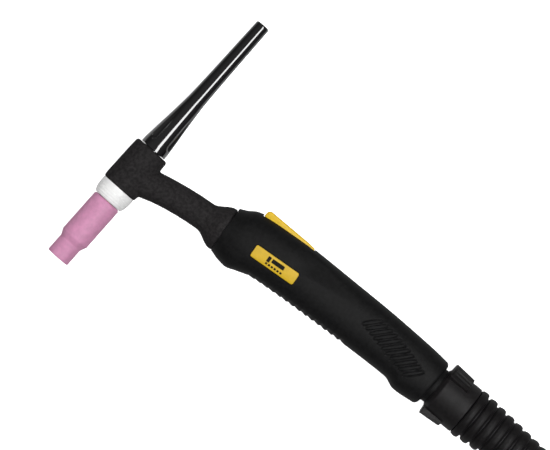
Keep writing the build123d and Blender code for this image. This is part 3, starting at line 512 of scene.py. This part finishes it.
# ---------------------------------------------------------------- back cap
def build_back_cap():
    """A long polished cap that tapers from its flange to its end, with four flutes to grip it by."""
    low, high = node_box("back_cap")
    base = HEAD_TOP + 0.3
    foot, top = low[1], high[1]
    flange, shaft, end = high[0], 5.85, 4.85
    bore, thread, plug = 1.8, 4.8, 6.3
    groove, groove_gap = thread - 0.4, 0.1
    oring_low, oring_high = (corner[1] for corner in node_box("cap_oring"))
    groove_low, groove_high = oring_low - groove_gap, oring_high + groove_gap
    flank = [(base + 3.5, flange), (base + 12.3, 8.6), (base + 24.0, 7.4), (base + 35.5, 6.4),
             (base + 43.5, shaft), (top - 4, end)]
    fine_end = base + 55
    ys = np.concatenate([np.arange(flank[0][0], fine_end, 0.22), np.linspace(fine_end, flank[-1][0], 24)])
    radii = interpolate([y for y, r in flank], [r for y, r in flank], ys)
    outline = [(bore, top - 3, 0), (bore, foot, 0.2), (thread, foot, 0.4), (thread, groove_low, 0),
               (groove, groove_low, 0), (groove, groove_high, 0), (plug, groove_high, 0.2),
               (plug, base, 0), (flange, base, 0.3)]
    outline += [(r, y, 0) for y, r in zip(ys, radii)]
    outline += [(end, top, 1.7), (0, top, 0), (0, top - 3, 0)]
    outline = eased(outline, 8)
    flute_radius, flute_count, first = 3.5, 4, math.radians(-57)
    start, stop = base + 8.2, base + 50.0
    near, far = flange - 1.9 + flute_radius, shaft + flute_radius + 0.25
    soft = 0.25

    def fluted(radius, angle, station):
        turn = 2 * math.pi / flute_count
        away = np.abs((angle - first + turn / 2) % turn - turn / 2)
        middle = near + (far - near) * np.clip((station - start) / (stop - start), 0, 1)
        below = np.clip(start - station, 0, flute_radius)
        size = np.sqrt(np.maximum(flute_radius ** 2 - below ** 2, 0))
        inside = size ** 2 - (middle * np.sin(away)) ** 2
        hit = (inside > 0) & (away < math.pi / 2) & (station > base + 4.0) & (radius > bore + 0.5)
        floor = middle * np.cos(away) - np.sqrt(np.maximum(inside, 0))
        share = np.clip(0.5 + 0.5 * (radius - floor) / soft, 0, 1)
        blended = radius * (1 - share) + floor * share - soft * share * (1 - share)
        return np.where(hit, np.minimum(radius, blended), radius)

    points, faces = turned(outline, 360, about_head, fluted)
    return make_piece("long_back_cap", points, faces, "gloss_black", "back_cap", ["back_cap"], smooth=50)


# ---------------------------------------------------------------- neck and head cover
GRIP_RADIUS = 16.76
HANDLE_LENGTH = 163.7
HANDLE_RISE = 14.7
NECK_RADIUS = 9.6
NECK_ROOT = 5.65
NECK_ROOT_ANGLE = math.radians(17.5)
NECK_END_ANGLE = math.radians(6.4)
NECK_ROOT_LENGTH = 12.58
NECK_BEND_RADIUS = 210.0
COLLAR_RADIUS = 15.2
COLLAR_LENGTH = 15.2
TUBE_RADIUS = 4.5
CAP_BORE = 6.9
COLLAR_GAP = 0.08
COVER_VOXEL = 0.00042       # in metres

ball = np.array(joint("seat_swivel")["pos_m"]) / MM
rear_way = np.array(joint("seat_swivel")["axis"])
grip_rear = node_box("handle_left")[1][0]
grip_front = grip_rear - HANDLE_LENGTH
grip_y = ball[1]
collar = np.array([grip_front, grip_y - HANDLE_RISE, 0.0])
neck_way = np.array([math.cos(NECK_END_ANGLE), math.sin(NECK_END_ANGLE), 0.0])


def neck_centres(step=1.0):
    """Points along the neck's line and its direction there, from the head's axis to the collar."""
    start = np.array([0.0, (HEAD_BOTTOM + HEAD_TOP) / 2 - NECK_ROOT, 0.0])
    way = np.array([math.cos(NECK_ROOT_ANGLE), math.sin(NECK_ROOT_ANGLE), 0.0])
    bend = start + way * NECK_ROOT_LENGTH
    rows = [(start + way * s, NECK_ROOT_ANGLE) for s in np.arange(0, NECK_ROOT_LENGTH, step)]
    sweep = NECK_BEND_RADIUS * (NECK_ROOT_ANGLE - NECK_END_ANGLE)
    for s in np.arange(0, sweep, step):
        angle = NECK_ROOT_ANGLE - s / NECK_BEND_RADIUS
        along, up = math.sin(NECK_ROOT_ANGLE) - math.sin(angle), math.cos(angle) - math.cos(NECK_ROOT_ANGLE)
        rows.append((bend + NECK_BEND_RADIUS * np.array([along, up, 0]), angle))
    return rows


def ring_points(centre, angle, radius, count=96):
    """A ring square to a line at angle in the middle plane."""
    up = np.array([-math.sin(angle), math.cos(angle), 0.0])
    turns = np.linspace(0, 2 * math.pi, count, endpoint=False)
    return [centre + radius * (up * math.cos(t) + SIDE * math.sin(t)) for t in turns]


def neck_rod(name, radius_at, past=0.0):
    """The neck as a rod whose radius may change along it, on past the collar's face."""
    rows = []
    for centre, angle in neck_centres():
        rows.append(ring_points(centre, angle, radius_at(centre[0])))
    end = np.mean(rows[-1], axis=0)
    distance = float((collar - end) @ neck_way) + past
    for s in np.arange(0.5, distance, 0.5):
        centre = end + neck_way * s
        rows.append(ring_points(centre, NECK_END_ANGLE, radius_at(centre[0])))
    rows.append(ring_points(end + neck_way * distance, NECK_END_ANGLE, radius_at(collar[0])))
    points, faces = tube_rows(rows)
    return helper(name, points, faces)


def neck_radius(x):
    """The neck's radius at x, slightly larger next to the head."""
    return NECK_RADIUS + 0.5 * math.exp(-max(0.0, x - 12.0) / 6.0)


def collar_blank():
    """The neck's flared end, a waist in the handle's front wall and a flange behind that wall."""
    foot = -COLLAR_LENGTH + 0.2
    outline = [(0, foot, 0)]
    for t in np.linspace(0, 1, 12):
        rise = NECK_RADIUS + (COLLAR_RADIUS - NECK_RADIUS) * float(smoothstep(0, 1, t)) ** 0.95
        outline.append((rise - 0.05 * (1 - t), foot + (COLLAR_LENGTH - 1.8) * t, 0))
    waist, flange, flange_end = 4.9, 12.6, 7.9
    outline += [(COLLAR_RADIUS - 0.15, 0, 0.35), (NECK_RADIUS, 0.0, 0.3), (NECK_RADIUS, waist, 0),
                (flange, waist, 0.4), (flange, flange_end, 0.4), (0, flange_end, 0)]
    points, faces = turned(divided(eased(outline, 6), 0.8), 128, about_line(collar, neck_way))
    return helper("collar_blank", points, faces)


def head_bore():
    """The hole for the head's core, which is narrower above it."""
    core = node_box("head_core")
    radius, top = core[1][:2]
    bottom, mouth = core[0][1] - 5, HEAD_TOP + 4
    outline = [(0, bottom), (radius, bottom), (radius, top), (CAP_BORE, top), (CAP_BORE, mouth), (0, mouth)]
    points, faces = turned(np.array(outline), 96, about_head)
    return helper("core_hole", points, faces)


def build_head_cover():
    """The head and neck in one moulding: joined, evenly remeshed so that the corner between them
    softens, and then bored."""
    radius = -node_box("head_cover")[0][0]
    barrel = eased([
        (0, HEAD_BOTTOM, 0), (radius - 0.35, HEAD_BOTTOM, 1.0), (radius, HEAD_BOTTOM + 3.0, 2.0),
        (radius - 0.2, HEAD_TOP - 8, 3.0), (radius - 0.5, HEAD_TOP, 3.3), (8.5, HEAD_TOP, 0.3),
        (0, HEAD_TOP, 0),
    ], 10)
    points, faces = turned(divided(barrel, 0.8), 144, about_head)
    cover = helper("head_and_neck_cover", points, faces)
    combine(cover, [neck_rod("neck_blank", neck_radius, past=3 - COLLAR_LENGTH), collar_blank()], "UNION")
    remesh = cover.modifiers.new("even", "REMESH")
    remesh.mode = "VOXEL"
    remesh.voxel_size = COVER_VOXEL
    soften = cover.modifiers.new("soften", "SMOOTH")
    soften.factor = 0.5
    soften.iterations = 6
    apply_modifiers(cover)
    combine(cover, [head_bore(), neck_rod("tube_hole", lambda x: TUBE_RADIUS, past=12)], "DIFFERENCE")
    return finish_piece(cover, "black_silicone", "torch", ["head_cover"], smooth=40)


# ---------------------------------------------------------------- handle
def grip_stations():
    """x, then how far the grip reaches past its reference radius below, above and to each side."""
    front, rear = grip_front, grip_rear
    return [
        (front - 3.5, 12.0, -15.7, -1.6),
        (front + 2.7, 13.3, -12.4, -0.7),
        (front + 8.5, 14.7, -8.4, 0.3),
        (front + 14.5, 15.2, -6.6, 0.7),
        (front + 22.5, 12.4, -5.5, 0.8),
        (front + 30.5, 9.5, -4.6, 0.8),
        (front + 48.5, 7.1, -2.7, 0.8),
        (front + 82.5, 3.9, -1.1, 0.5),
        (rear - 41.2, 0.6, 0.3, 0.3),
        (rear - 26.2, -0.1, 0.4, 0.3),
        (rear - 17.2, 2.3, 0.4, 0.3),
        (rear, 0.1, -0.3, 0.1),
    ]


def grip_section(x, theta, grow=0.0):
    """Points of the grip's surface at x for angles from -90 (below) over 0 (+Z side) to 90 (above)."""
    rows = grip_stations()
    xs = [r[0] for r in rows]
    below = GRIP_RADIUS + interpolate(xs, [r[1] for r in rows], x) + grow
    above = GRIP_RADIUS + interpolate(xs, [r[2] for r in rows], x) + grow
    half = GRIP_RADIUS + interpolate(xs, [r[3] for r in rows], x) + grow
    square = smoothstep(grip_front + 6, grip_front + 24, x) * smoothstep(grip_rear + 6, grip_rear - 22, x)
    power = 2 / (2.05 + 0.35 * square)
    middle = grip_y + (above - below) / 2
    height = (above + below) / 2
    s, c = np.sin(theta), np.cos(theta)
    y = middle + height * np.sign(s) * np.abs(s) ** power
    z = half * np.abs(c) ** power
    return y, z


def crease_height(x):
    """The soft ridge on the grip's side, which climbs from behind the label to the rear's top edge."""
    return interpolate([grip_front + 44, grip_front + 60, grip_front + 100, grip_front + 132, grip_rear],
                       [grip_y - 4.5, grip_y - 1.5, grip_y + 5.5, grip_y + 10.5, grip_y + 14], x)


def bevel_side(x, y, z):
    """Flattens the grip's side above the ridge."""
    strength = smoothstep(grip_front + 40, grip_front + 62, x) * smoothstep(grip_rear - 2, grip_rear - 30, x)
    line = crease_height(x)
    plane = GRIP_RADIUS + 0.45 - 0.42 * (y - line)
    k = 0.7
    blend = np.clip(0.5 + 0.5 * (z - plane) / k, 0, 1)
    lower = z * (1 - blend) + plane * blend - k * blend * (1 - blend)
    return np.where(y > line - 2, z + (lower - z) * strength, z)


RIB_COUNT = 11
RIB_SLANT = math.radians(49.5)
RIB_HEIGHT, RIB_WIDTH = 0.5, 1.2
MOAT_DEPTH, MOAT_WIDTH = 0.55, 0.36


def rib_height(x, y):
    """Raised lens-shaped ribs on the grip's rear, each in a shallow moat, as a height over its side."""
    total = np.zeros_like(x)
    trench = np.zeros_like(x)
    way = np.array([math.cos(RIB_SLANT), math.sin(RIB_SLANT)])
    for index in range(RIB_COUNT):
        t = index / (RIB_COUNT - 1)
        arch = math.sin(math.pi * t)
        middle = (grip_rear - 55.2 + 40.6 * t, grip_y + 3.9 - 7.1 * t + 0.8 * arch)
        half = (14.6 + 0.5 * t + 2.0 * arch) / 2
        along = (x - middle[0]) * way[0] + (y - middle[1]) * way[1]
        off = -(x - middle[0]) * way[1] + (y - middle[1]) * way[0]
        share = np.clip(1 - (along / half) ** 2, 0, 1)
        width = RIB_WIDTH * share ** 0.5 + 1e-6
        ridge = np.clip((1 - np.abs(off) / width) / 0.35, 0, 1)
        dip = np.exp(-((np.abs(off) - width - 0.3) / MOAT_WIDTH) ** 2)
        moat = MOAT_DEPTH * dip * np.clip(share * 4, 0, 1)
        total = np.maximum(total, RIB_HEIGHT * smoothstep(0, 1, ridge) * np.clip(share * 3, 0, 1))
        trench = np.maximum(trench, moat)
    return np.where(total > 0.02, total, -trench)


TOOTH_COUNT = 15
TOOTH_PITCH = 5.04


def tooth_depth(x, z, lower):
    """Saw-tooth notches across the grip's lower edge, as a depth under its surface."""
    start = grip_front + 29.0
    phase = (x - start) / TOOTH_PITCH
    inside = (phase > 0) & (phase < TOOTH_COUNT)
    tooth = phase % 1.0
    saw = np.where(tooth < 0.22, tooth / 0.22, ((1 - tooth) / 0.78) ** 1.4)
    fade = smoothstep(11.0, 7.0, np.abs(z))
    height = 0.4 + 0.5 * np.clip(phase / 9, 0, 1)
    return np.where(inside & lower, height * saw * fade, 0)


REAR_EASE = 2.6
SEAM_DEPTH, SEAM_WIDTH, HALF_GAP = 0.22, 0.22, 0.03


def grip_half(side, grow=0.0, detail=True):
    """Closed points and faces of half the grip's form, cut flat at the parting plane."""
    step_x, count = (0.36, 150) if detail else (2.0, 40)
    front, turn_in = grip_front - 3.4, grip_rear - REAR_EASE
    quarter = np.sin(np.linspace(0, math.pi / 2, 9))
    xs = np.concatenate([np.arange(front, turn_in, step_x), turn_in + REAR_EASE * quarter])
    theta = np.linspace(-math.pi / 2, math.pi / 2, count)
    x, angle = np.meshgrid(xs, theta, indexing="ij")
    rounding = REAR_EASE - np.sqrt(np.maximum(REAR_EASE ** 2 - (x - turn_in) ** 2, 0))
    inset = np.where(x > turn_in, rounding, 0)
    y, z = grip_section(x, angle, grow)
    centre = (y[:, :1] + y[:, -1:]) / 2
    if detail:
        z = bevel_side(x, y, z)
        lower = y < centre - 6
        lift = rib_height(x, y) - tooth_depth(x, z, lower)
        seam = SEAM_DEPTH * np.exp(-(z / SEAM_WIDTH) ** 2)
        length = np.hypot(y - centre, z) + 1e-9
        push = lift - seam - inset
        y = y + (y - centre) / length * push
        z = np.maximum(z + z / length * push, 0)
    z[:, 0] = 0.0
    z[:, -1] = 0.0
    z = z + HALF_GAP
    rows = [np.stack([x[i], y[i], side * z[i]], -1) for i in range(len(xs))]
    return tube_rows(rows)


def slot_cutter():
    """The slot that the trigger sits in, with play all round it."""
    low, high = node_box("trigger")
    end_play, side_play = 0.45, 0.3
    half = high[2] + side_play
    reach = (low[0] - end_play, high[0] + end_play)
    cutter = helper("slot_cut", *box_points(reach, (low[1] - 6, high[1] + 8), (-half, half)))
    bevel = cutter.modifiers.new("round", "BEVEL")
    bevel.width = 0.0012
    bevel.segments = 4
    apply_modifiers(cutter)
    return cutter


LABEL_LENGTH, LABEL_WIDTH, LABEL_CORNER = 32.5, 8.5, 1.0
LABEL_TILT = math.radians(6.5)
label_low, label_high = node_box("label_plate")
label_middle = (label_low + label_high)[:2] / 2
label_way = np.array([math.cos(LABEL_TILT), math.sin(LABEL_TILT)])
label_across = np.array([-label_way[1], label_way[0]])


def label_outline(gap, steps=6):
    """The label's rounded outline in x, y, wider by gap."""
    half_u, half_v = LABEL_LENGTH / 2 + gap, LABEL_WIDTH / 2 + gap
    corner = LABEL_CORNER + gap
    points = []
    for side_u, side_v, start in ((1, 1, 0), (-1, 1, 90), (-1, -1, 180), (1, -1, 270)):
        for k in range(steps + 1):
            a = math.radians(start + 90 * k / steps)
            u = side_u * (half_u - corner) + corner * math.cos(a)
            v = side_v * (half_v - corner) + corner * math.sin(a)
            points.append(tuple(label_middle + u * label_way + v * label_across))
    return points


def label_cutter():
    """The pocket that the label sits in."""
    return helper("label_cut", *prism(label_outline(0.35), label_low[2] - 0.2, 40))


def neck_passage():
    """The way in for the neck, wider where its flange sits."""
    neck, behind, flange = NECK_RADIUS + 0.35, NECK_RADIUS + 0.3, 12.9
    front, wall, flange_end, rear = -6, 4.3, 8.4, 16
    outline = np.array([(0, front), (14.9, front), (14.9, 0.1), (neck, 0.5), (neck, wall), (flange, wall),
                        (flange, flange_end), (behind, flange_end), (behind, rear), (0, rear)])
    points, faces = turned(outline, 96, about_line(collar, neck_way))
    return helper("neck_cut", points, faces)


def front_trim():
    """A block in front of the handle's slanted front face."""
    up = np.array([-neck_way[1], neck_way[0], 0.0])
    corners, faces = box_points((-30, 0), (-40, 40), (-40, 40))
    origin = collar + neck_way * COLLAR_GAP
    return helper("front_cut", origin + corners @ np.stack([neck_way, up, SIDE]), faces)


BALL_RADIUS = 13.4


def ball_socket():
    """The room for the ball and its seat, with a lip and a flared mouth."""
    chamber, seat, lip, mouth = BALL_RADIUS + 0.3, 14.96, BALL_RADIUS + 0.05, BALL_RADIUS + 1.35
    front, seat_front, seat_rear, rear = -12, -5.8, 2.7, 8
    outline = np.array([(0, front), (chamber, front), (chamber, seat_front), (seat, seat_front),
                        (seat, seat_rear), (lip, seat_rear), (lip, 3.0), (mouth, 4.4), (mouth, rear),
                        (0, rear)])
    points, faces = turned(outline, 128, about_line(ball, rear_way))
    return helper("ball_cut", points, faces)


def cavity_cutter(side):
    """The hollow of one half, a wall's thickness inside its surface."""
    wall = 2.4
    points, faces = grip_half(side, grow=-wall, detail=False)
    points = np.array(points)
    points[:, 0] = np.clip(points[:, 0], grip_front + 10.5, ball[0] - 10.5)
    points[:, 2] -= side * 0.5
    return helper("cavity_cut", points, faces)


def screw_spots():
    """The screws' centres, from the CAD node's separate solids."""
    screw_reach = 8
    mesh = frame["nodes"]["handle_screws"].data
    groups = []
    for x, y, _ in np.array([v.co for v in mesh.vertices]) / MM:
        for group in groups:
            if math.dist((x, y), np.mean(group, axis=0)) < screw_reach:
                group.append((x, y))
                break
        else:
            groups.append([(x, y)])
    return [(np.min(group, axis=0) + np.max(group, axis=0)) / 2 for group in groups]


def screw_cutters():
    """A wide hole for each screw's head and a narrow one for its shank."""
    cutters = []
    for x, y in screw_spots():
        for radius, low, high in ((3.1, -40, -9.5), (1.55, -12, 8.3)):
            cutters.append(helper("screw_cut", *prism(circle(x, y, radius), low, high)))
    return cutters


def build_handle():
    """Two hollow halves; the label is on the +Z half and the screws go in from the other."""
    for side, node in ((1, "handle_left"), (-1, "handle_right")):
        points, faces = grip_half(side)
        shell = helper("grip_" + node.split("_")[1], points, faces)
        cutters = [cavity_cutter(side), front_trim(), neck_passage(), ball_socket(), slot_cutter()]
        cutters += [label_cutter()] if side == 1 else screw_cutters()
        combine(shell, cutters, "DIFFERENCE")
        finish_piece(shell, "handle_black", "torch", [node], smooth=38)


def side_height(x, y):
    """Height of the grip's near side over the middle plane at (x, y)."""
    theta = np.linspace(-1.4, 1.4, 400)
    ys, zs = grip_section(np.full_like(theta, x), theta)
    return float(np.interp(y, ys, zs))


def plate_ring(half_u, half_v, corner, inset):
    """A plate's rounded outline, inset from its edge: along the upper side and back along the lower."""
    shares = np.linspace(-1, 1, max(8, int(half_u * 4)))
    ring = []
    for side, order in ((1, shares), (-1, shares[::-1])):
        for share in order:
            over = max(0.0, abs(share) * half_u - (half_u - corner))
            v = side * (half_v - inset - corner + math.sqrt(max(corner ** 2 - over ** 2, 0)))
            ring.append((share * (half_u - inset), v))
    return ring


def plate(half_u, half_v, corner, thickness, ease=0.12):
    """Points (u, v, depth) and faces of a plate with eased upper edges and a fine grid on top, so
    that it can be bent."""
    points = []
    for inset, drop in ((0.0, thickness), (0.0, ease), (ease, 0.0)):
        points += [(u, v, drop) for u, v in plate_ring(half_u, half_v, corner, inset)]
    total = len(points) // 3
    count = total // 2
    top = 2 * total
    faces = []
    for base in (0, total):
        for k in range(total):
            m = (k + 1) % total
            faces.append((base + k, base + m, base + total + m, base + total + k))
    lanes = max(3, int(half_v * 4))
    columns = []
    for k in range(count):
        upper, lower = top + k, top + total - 1 - k
        (u, v, _), (_, v_end, _) = points[upper], points[lower]
        fill = [(u, v + (v_end - v) * lane / lanes, 0.0) for lane in range(1, lanes)]
        columns.append([upper, *range(len(points), len(points) + len(fill)), lower])
        points += fill
    for left, right in zip(columns[:-1], columns[1:]):
        for lane in range(lanes):
            faces.append((left[lane], left[lane + 1], right[lane + 1], right[lane]))
    for k in range(count - 1):
        faces.append((k, k + 1, total - 2 - k, total - 1 - k))
    return points, faces


def label_patch(name, u_middle, v_middle, size, corner, sink, thickness, slot, nodes=()):
    """A plate of size (half length, half width) that follows the grip's side, sink below it.
    u runs along the label and v across."""
    points, faces = plate(*size, corner, thickness)
    placed = []
    for u, v, drop in points:
        x, y = label_middle + (u_middle + u) * label_way + (v_middle + v) * label_across
        placed.append((x, y, side_height(x, y) - sink - drop))
    make_piece(name, placed, faces, slot, "torch", nodes, smooth=50)


def build_label():
    """The plate and a plain mark: a bar with a stem and a row of blocks under it."""
    size = (LABEL_LENGTH / 2, LABEL_WIDTH / 2)
    label_patch("label_face", 0, 0, size, LABEL_CORNER, 0.25, 0.7, "yellow_label", ["label_plate"])
    marks = [("label_bar", 1.8, 1.2, (4.7, 1.45), 0.3), ("label_stem", -4.9, 0.7, (1.2, 2.0), 0.3)]
    marks += [(f"label_block_{k}", -5.0 + 2.2 * k, -2.3, (0.85, 0.75), 0.15) for k in range(6)]
    for mark in marks:
        label_patch(*mark, sink=0.22, thickness=0.1, slot="label_ink")


# ---------------------------------------------------------------- trigger
def build_trigger():
    """A hollow lever with a rounded nose, ears for its pin, and a rib over the switch's plunger."""
    low, high = node_box("trigger")
    pin = np.array(joint("trigger_press")["pos_m"]) / MM
    half = high[2]
    top = high[1] - 0.3
    depth = 5.8
    floor = top - depth
    nose = 2.6
    ears = floor - 3.2
    outline = [(low[0], floor)]
    for a in np.linspace(0, math.pi / 2, 7):
        outline.append((low[0] + nose * (1 - math.cos(a)), top - 0.45 - nose * (1 - math.sin(a))))
    outline += [(high[0] - 6, top + 0.3), (high[0], top), (high[0], top - 3.0),
                (pin[0] + 2.0, ears), (pin[0] - 2.5, ears), (pin[0] - 5.9, floor)]
    points, faces = prism(outline, -half, half)
    lever = helper("trigger_lever", points, faces)
    bevel = lever.modifiers.new("round", "BEVEL")
    bevel.width = 0.0011
    bevel.segments = 5
    bevel.limit_method = "ANGLE"
    bevel.angle_limit = math.radians(40)
    apply_modifiers(lever)
    wall, pin_hole = 1.6, 1.58
    inside = (floor - 5, top - 2.2)
    hollow = box_points((low[0] + wall, pin[0] - 3.9), inside, (wall - half, half - wall))
    pocket = helper("pocket_cut", *hollow)
    room = helper("spring_cut", *box_points((pin[0] - 4.9, pin[0] + 3.8), inside, (-2.75, 2.75)))
    hole = helper("pin_cut", *prism(circle(pin[0], pin[1], pin_hole), -half - 1, half + 1))
    combine(lever, [pocket, room, hole], "DIFFERENCE")
    plunger = node_box("switch_plunger")
    x = (plunger[0][0] + plunger[1][0]) / 2
    tall, wide = (plunger[1][1] + 0.3, top - 1.8), (wall - 0.2 - half, half - wall + 0.2)
    combine(lever, [helper("rib_blank", *box_points((x - 0.8, x + 0.8), tall, wide))], "UNION")
    return finish_piece(lever, "yellow_plastic", "trigger", ["trigger"], smooth=35)


# ---------------------------------------------------------------- rear joint
def build_ball():
    """A bored ball with a straight tail, which the nut turns on."""
    tail, bore, front, rear = 12.5, 9.0, -9.5, 24
    arc = np.linspace(math.asin(front / BALL_RADIUS), math.acos(tail / BALL_RADIUS), 40)
    outline = [(bore, rear, 0), (bore, front, 0)]
    outline += [(BALL_RADIUS * math.cos(a), BALL_RADIUS * math.sin(a), 0) for a in arc]
    outline += [(tail, rear, 0.6), (bore, rear, 0)]
    points, faces = turned(eased(outline)[:-1], 128, about_line(ball, rear_way))
    return make_piece("ball_and_tail", points, faces, "handle_black", "ball", ["ball_knuckle"], smooth=30)


NUT_FRONT, NUT_LENGTH = 7.9, 23.3
LUG_LENGTH, LUG_HEIGHT = 15.6, 3.5
LUG_HALF, LUG_TURN = math.radians(39), math.radians(17)


def build_nut():
    """A round nut with two ribbed lugs on opposite sides."""
    thread, body, mouth = 12.55, 16.25, 11.0
    front, rear, seat = NUT_FRONT - 0.8, NUT_FRONT + NUT_LENGTH, 27.2
    lug_end = NUT_FRONT + LUG_LENGTH
    outline = eased([
        (thread, 26, 0), (thread, front, 0.2), (thread + 0.9, front, 0.3), (body, NUT_FRONT + 2.0, 0.8),
        (body + 0.2, lug_end - 2.0, 1.0), (body + 0.45, lug_end + 2.0, 1.0), (body + 0.45, rear, 1.2),
        (mouth, rear, 0.2), (mouth, seat, 0), (thread, seat, 0), (thread, 26, 0),
    ], 6)
    outline = divided(outline, 0.4)[:-1]

    def lugged(radius, angle, station):
        away = np.abs((angle - LUG_TURN + math.pi / 2) % math.pi - math.pi / 2)
        edge = smoothstep(LUG_HALF + 0.02, LUG_HALF - 0.012, away)
        run = smoothstep(NUT_FRONT, NUT_FRONT + 0.5, station)
        run *= smoothstep(lug_end + 0.1, lug_end - 0.5, station)
        top = body + LUG_HEIGHT - 1.2 * (station - NUT_FRONT) / LUG_LENGTH
        groove = np.abs(((away / LUG_HALF * 3.5) % 1.0) - 0.5) * 2
        ridge = 0.9 * smoothstep(0.5, 0.2, groove) * smoothstep(NUT_FRONT + 1.6, NUT_FRONT + 2.4, station)
        lift = (top - ridge * smoothstep(LUG_HALF - 0.05, LUG_HALF - 0.08, away) - radius) * edge * run
        return np.where(radius > thread + 1.2, radius + lift, radius)

    points, faces = turned(outline, 480, about_line(ball, rear_way), lugged)
    return make_piece("swivel_nut_shell", points, faces, "nut_black", "cable_end", ["swivel_nut"], smooth=40)


BOOT_RINGS, BOOT_PITCH, BOOT_WIDTH = 8, 7.3, 5.2


def build_boot():
    """A tapering sleeve with deep rounded rings, held by a flange inside the nut."""
    first, last, groove = 17.5, 13.2, 2.9
    start = NUT_FRONT + NUT_LENGTH + 0.3
    bore, sleeve, flange = 8.5, 10.8, 12.3
    flange_front, flange_rear = 25.3, 27.1
    outline = [(bore, start + 10, 0), (bore, flange_front, 0), (flange, flange_front, 0.2),
               (flange, flange_rear, 0.2), (sleeve, flange_rear, 0.1), (sleeve, start, 0.1)]
    end_core = last - groove * 0.6
    for index in range(BOOT_RINGS):
        t = index / (BOOT_RINGS - 1)
        crest = first + (last - first) * t
        core = first - groove + (end_core - first + groove) * (index + 0.5) / BOOT_RINGS
        low = start + index * BOOT_PITCH
        outline += [(crest - 0.6, low, 1.4), (crest, low + 0.55 * BOOT_WIDTH, 3.0),
                    (crest - 0.45, low + BOOT_WIDTH, 1.5), (core + 0.3, low + BOOT_WIDTH + 0.55, 0.5),
                    (core + 0.2, low + BOOT_PITCH - 0.5, 0.5)]
    tip = start + BOOT_RINGS * BOOT_PITCH
    end = tip + 4.0
    outline += [(end_core, tip + 0.6, 0.4), (end_core, end, 1.0), (bore, end, 0.6), (bore, start + 10, 0)]
    points, faces = turned(eased(outline, 5)[:-1], 144, about_line(ball, rear_way))
    return make_piece("ribbed_boot", points, faces, "boot_rubber", "cable_end", ["bend_boot"], smooth=50)


# ---------------------------------------------------------------- the torch
add_camera()
add_world(0.13, 0.05, 0.55)
add_floor()
add_softbox("key_softbox", (0.40, 0.22, 0.85), (0.95, 0.30), 7)
add_softbox("fill_softbox", (-0.75, 0.1, 0.65), (0.9, 0.9), 4.5, mirrored=False)
add_softbox("top_softbox", (0.1, 0.1, 1.1), (1.4, 1.4), 4, mirrored=False)
bpy.context.scene.view_settings.view_transform = "Standard"

materials = make_materials()
dress_cad_nodes(materials)
build_nozzle()
build_gasket()
build_back_cap()
build_head_cover()
build_handle()
build_label()
build_trigger()
build_ball()
build_nut()
build_boot()
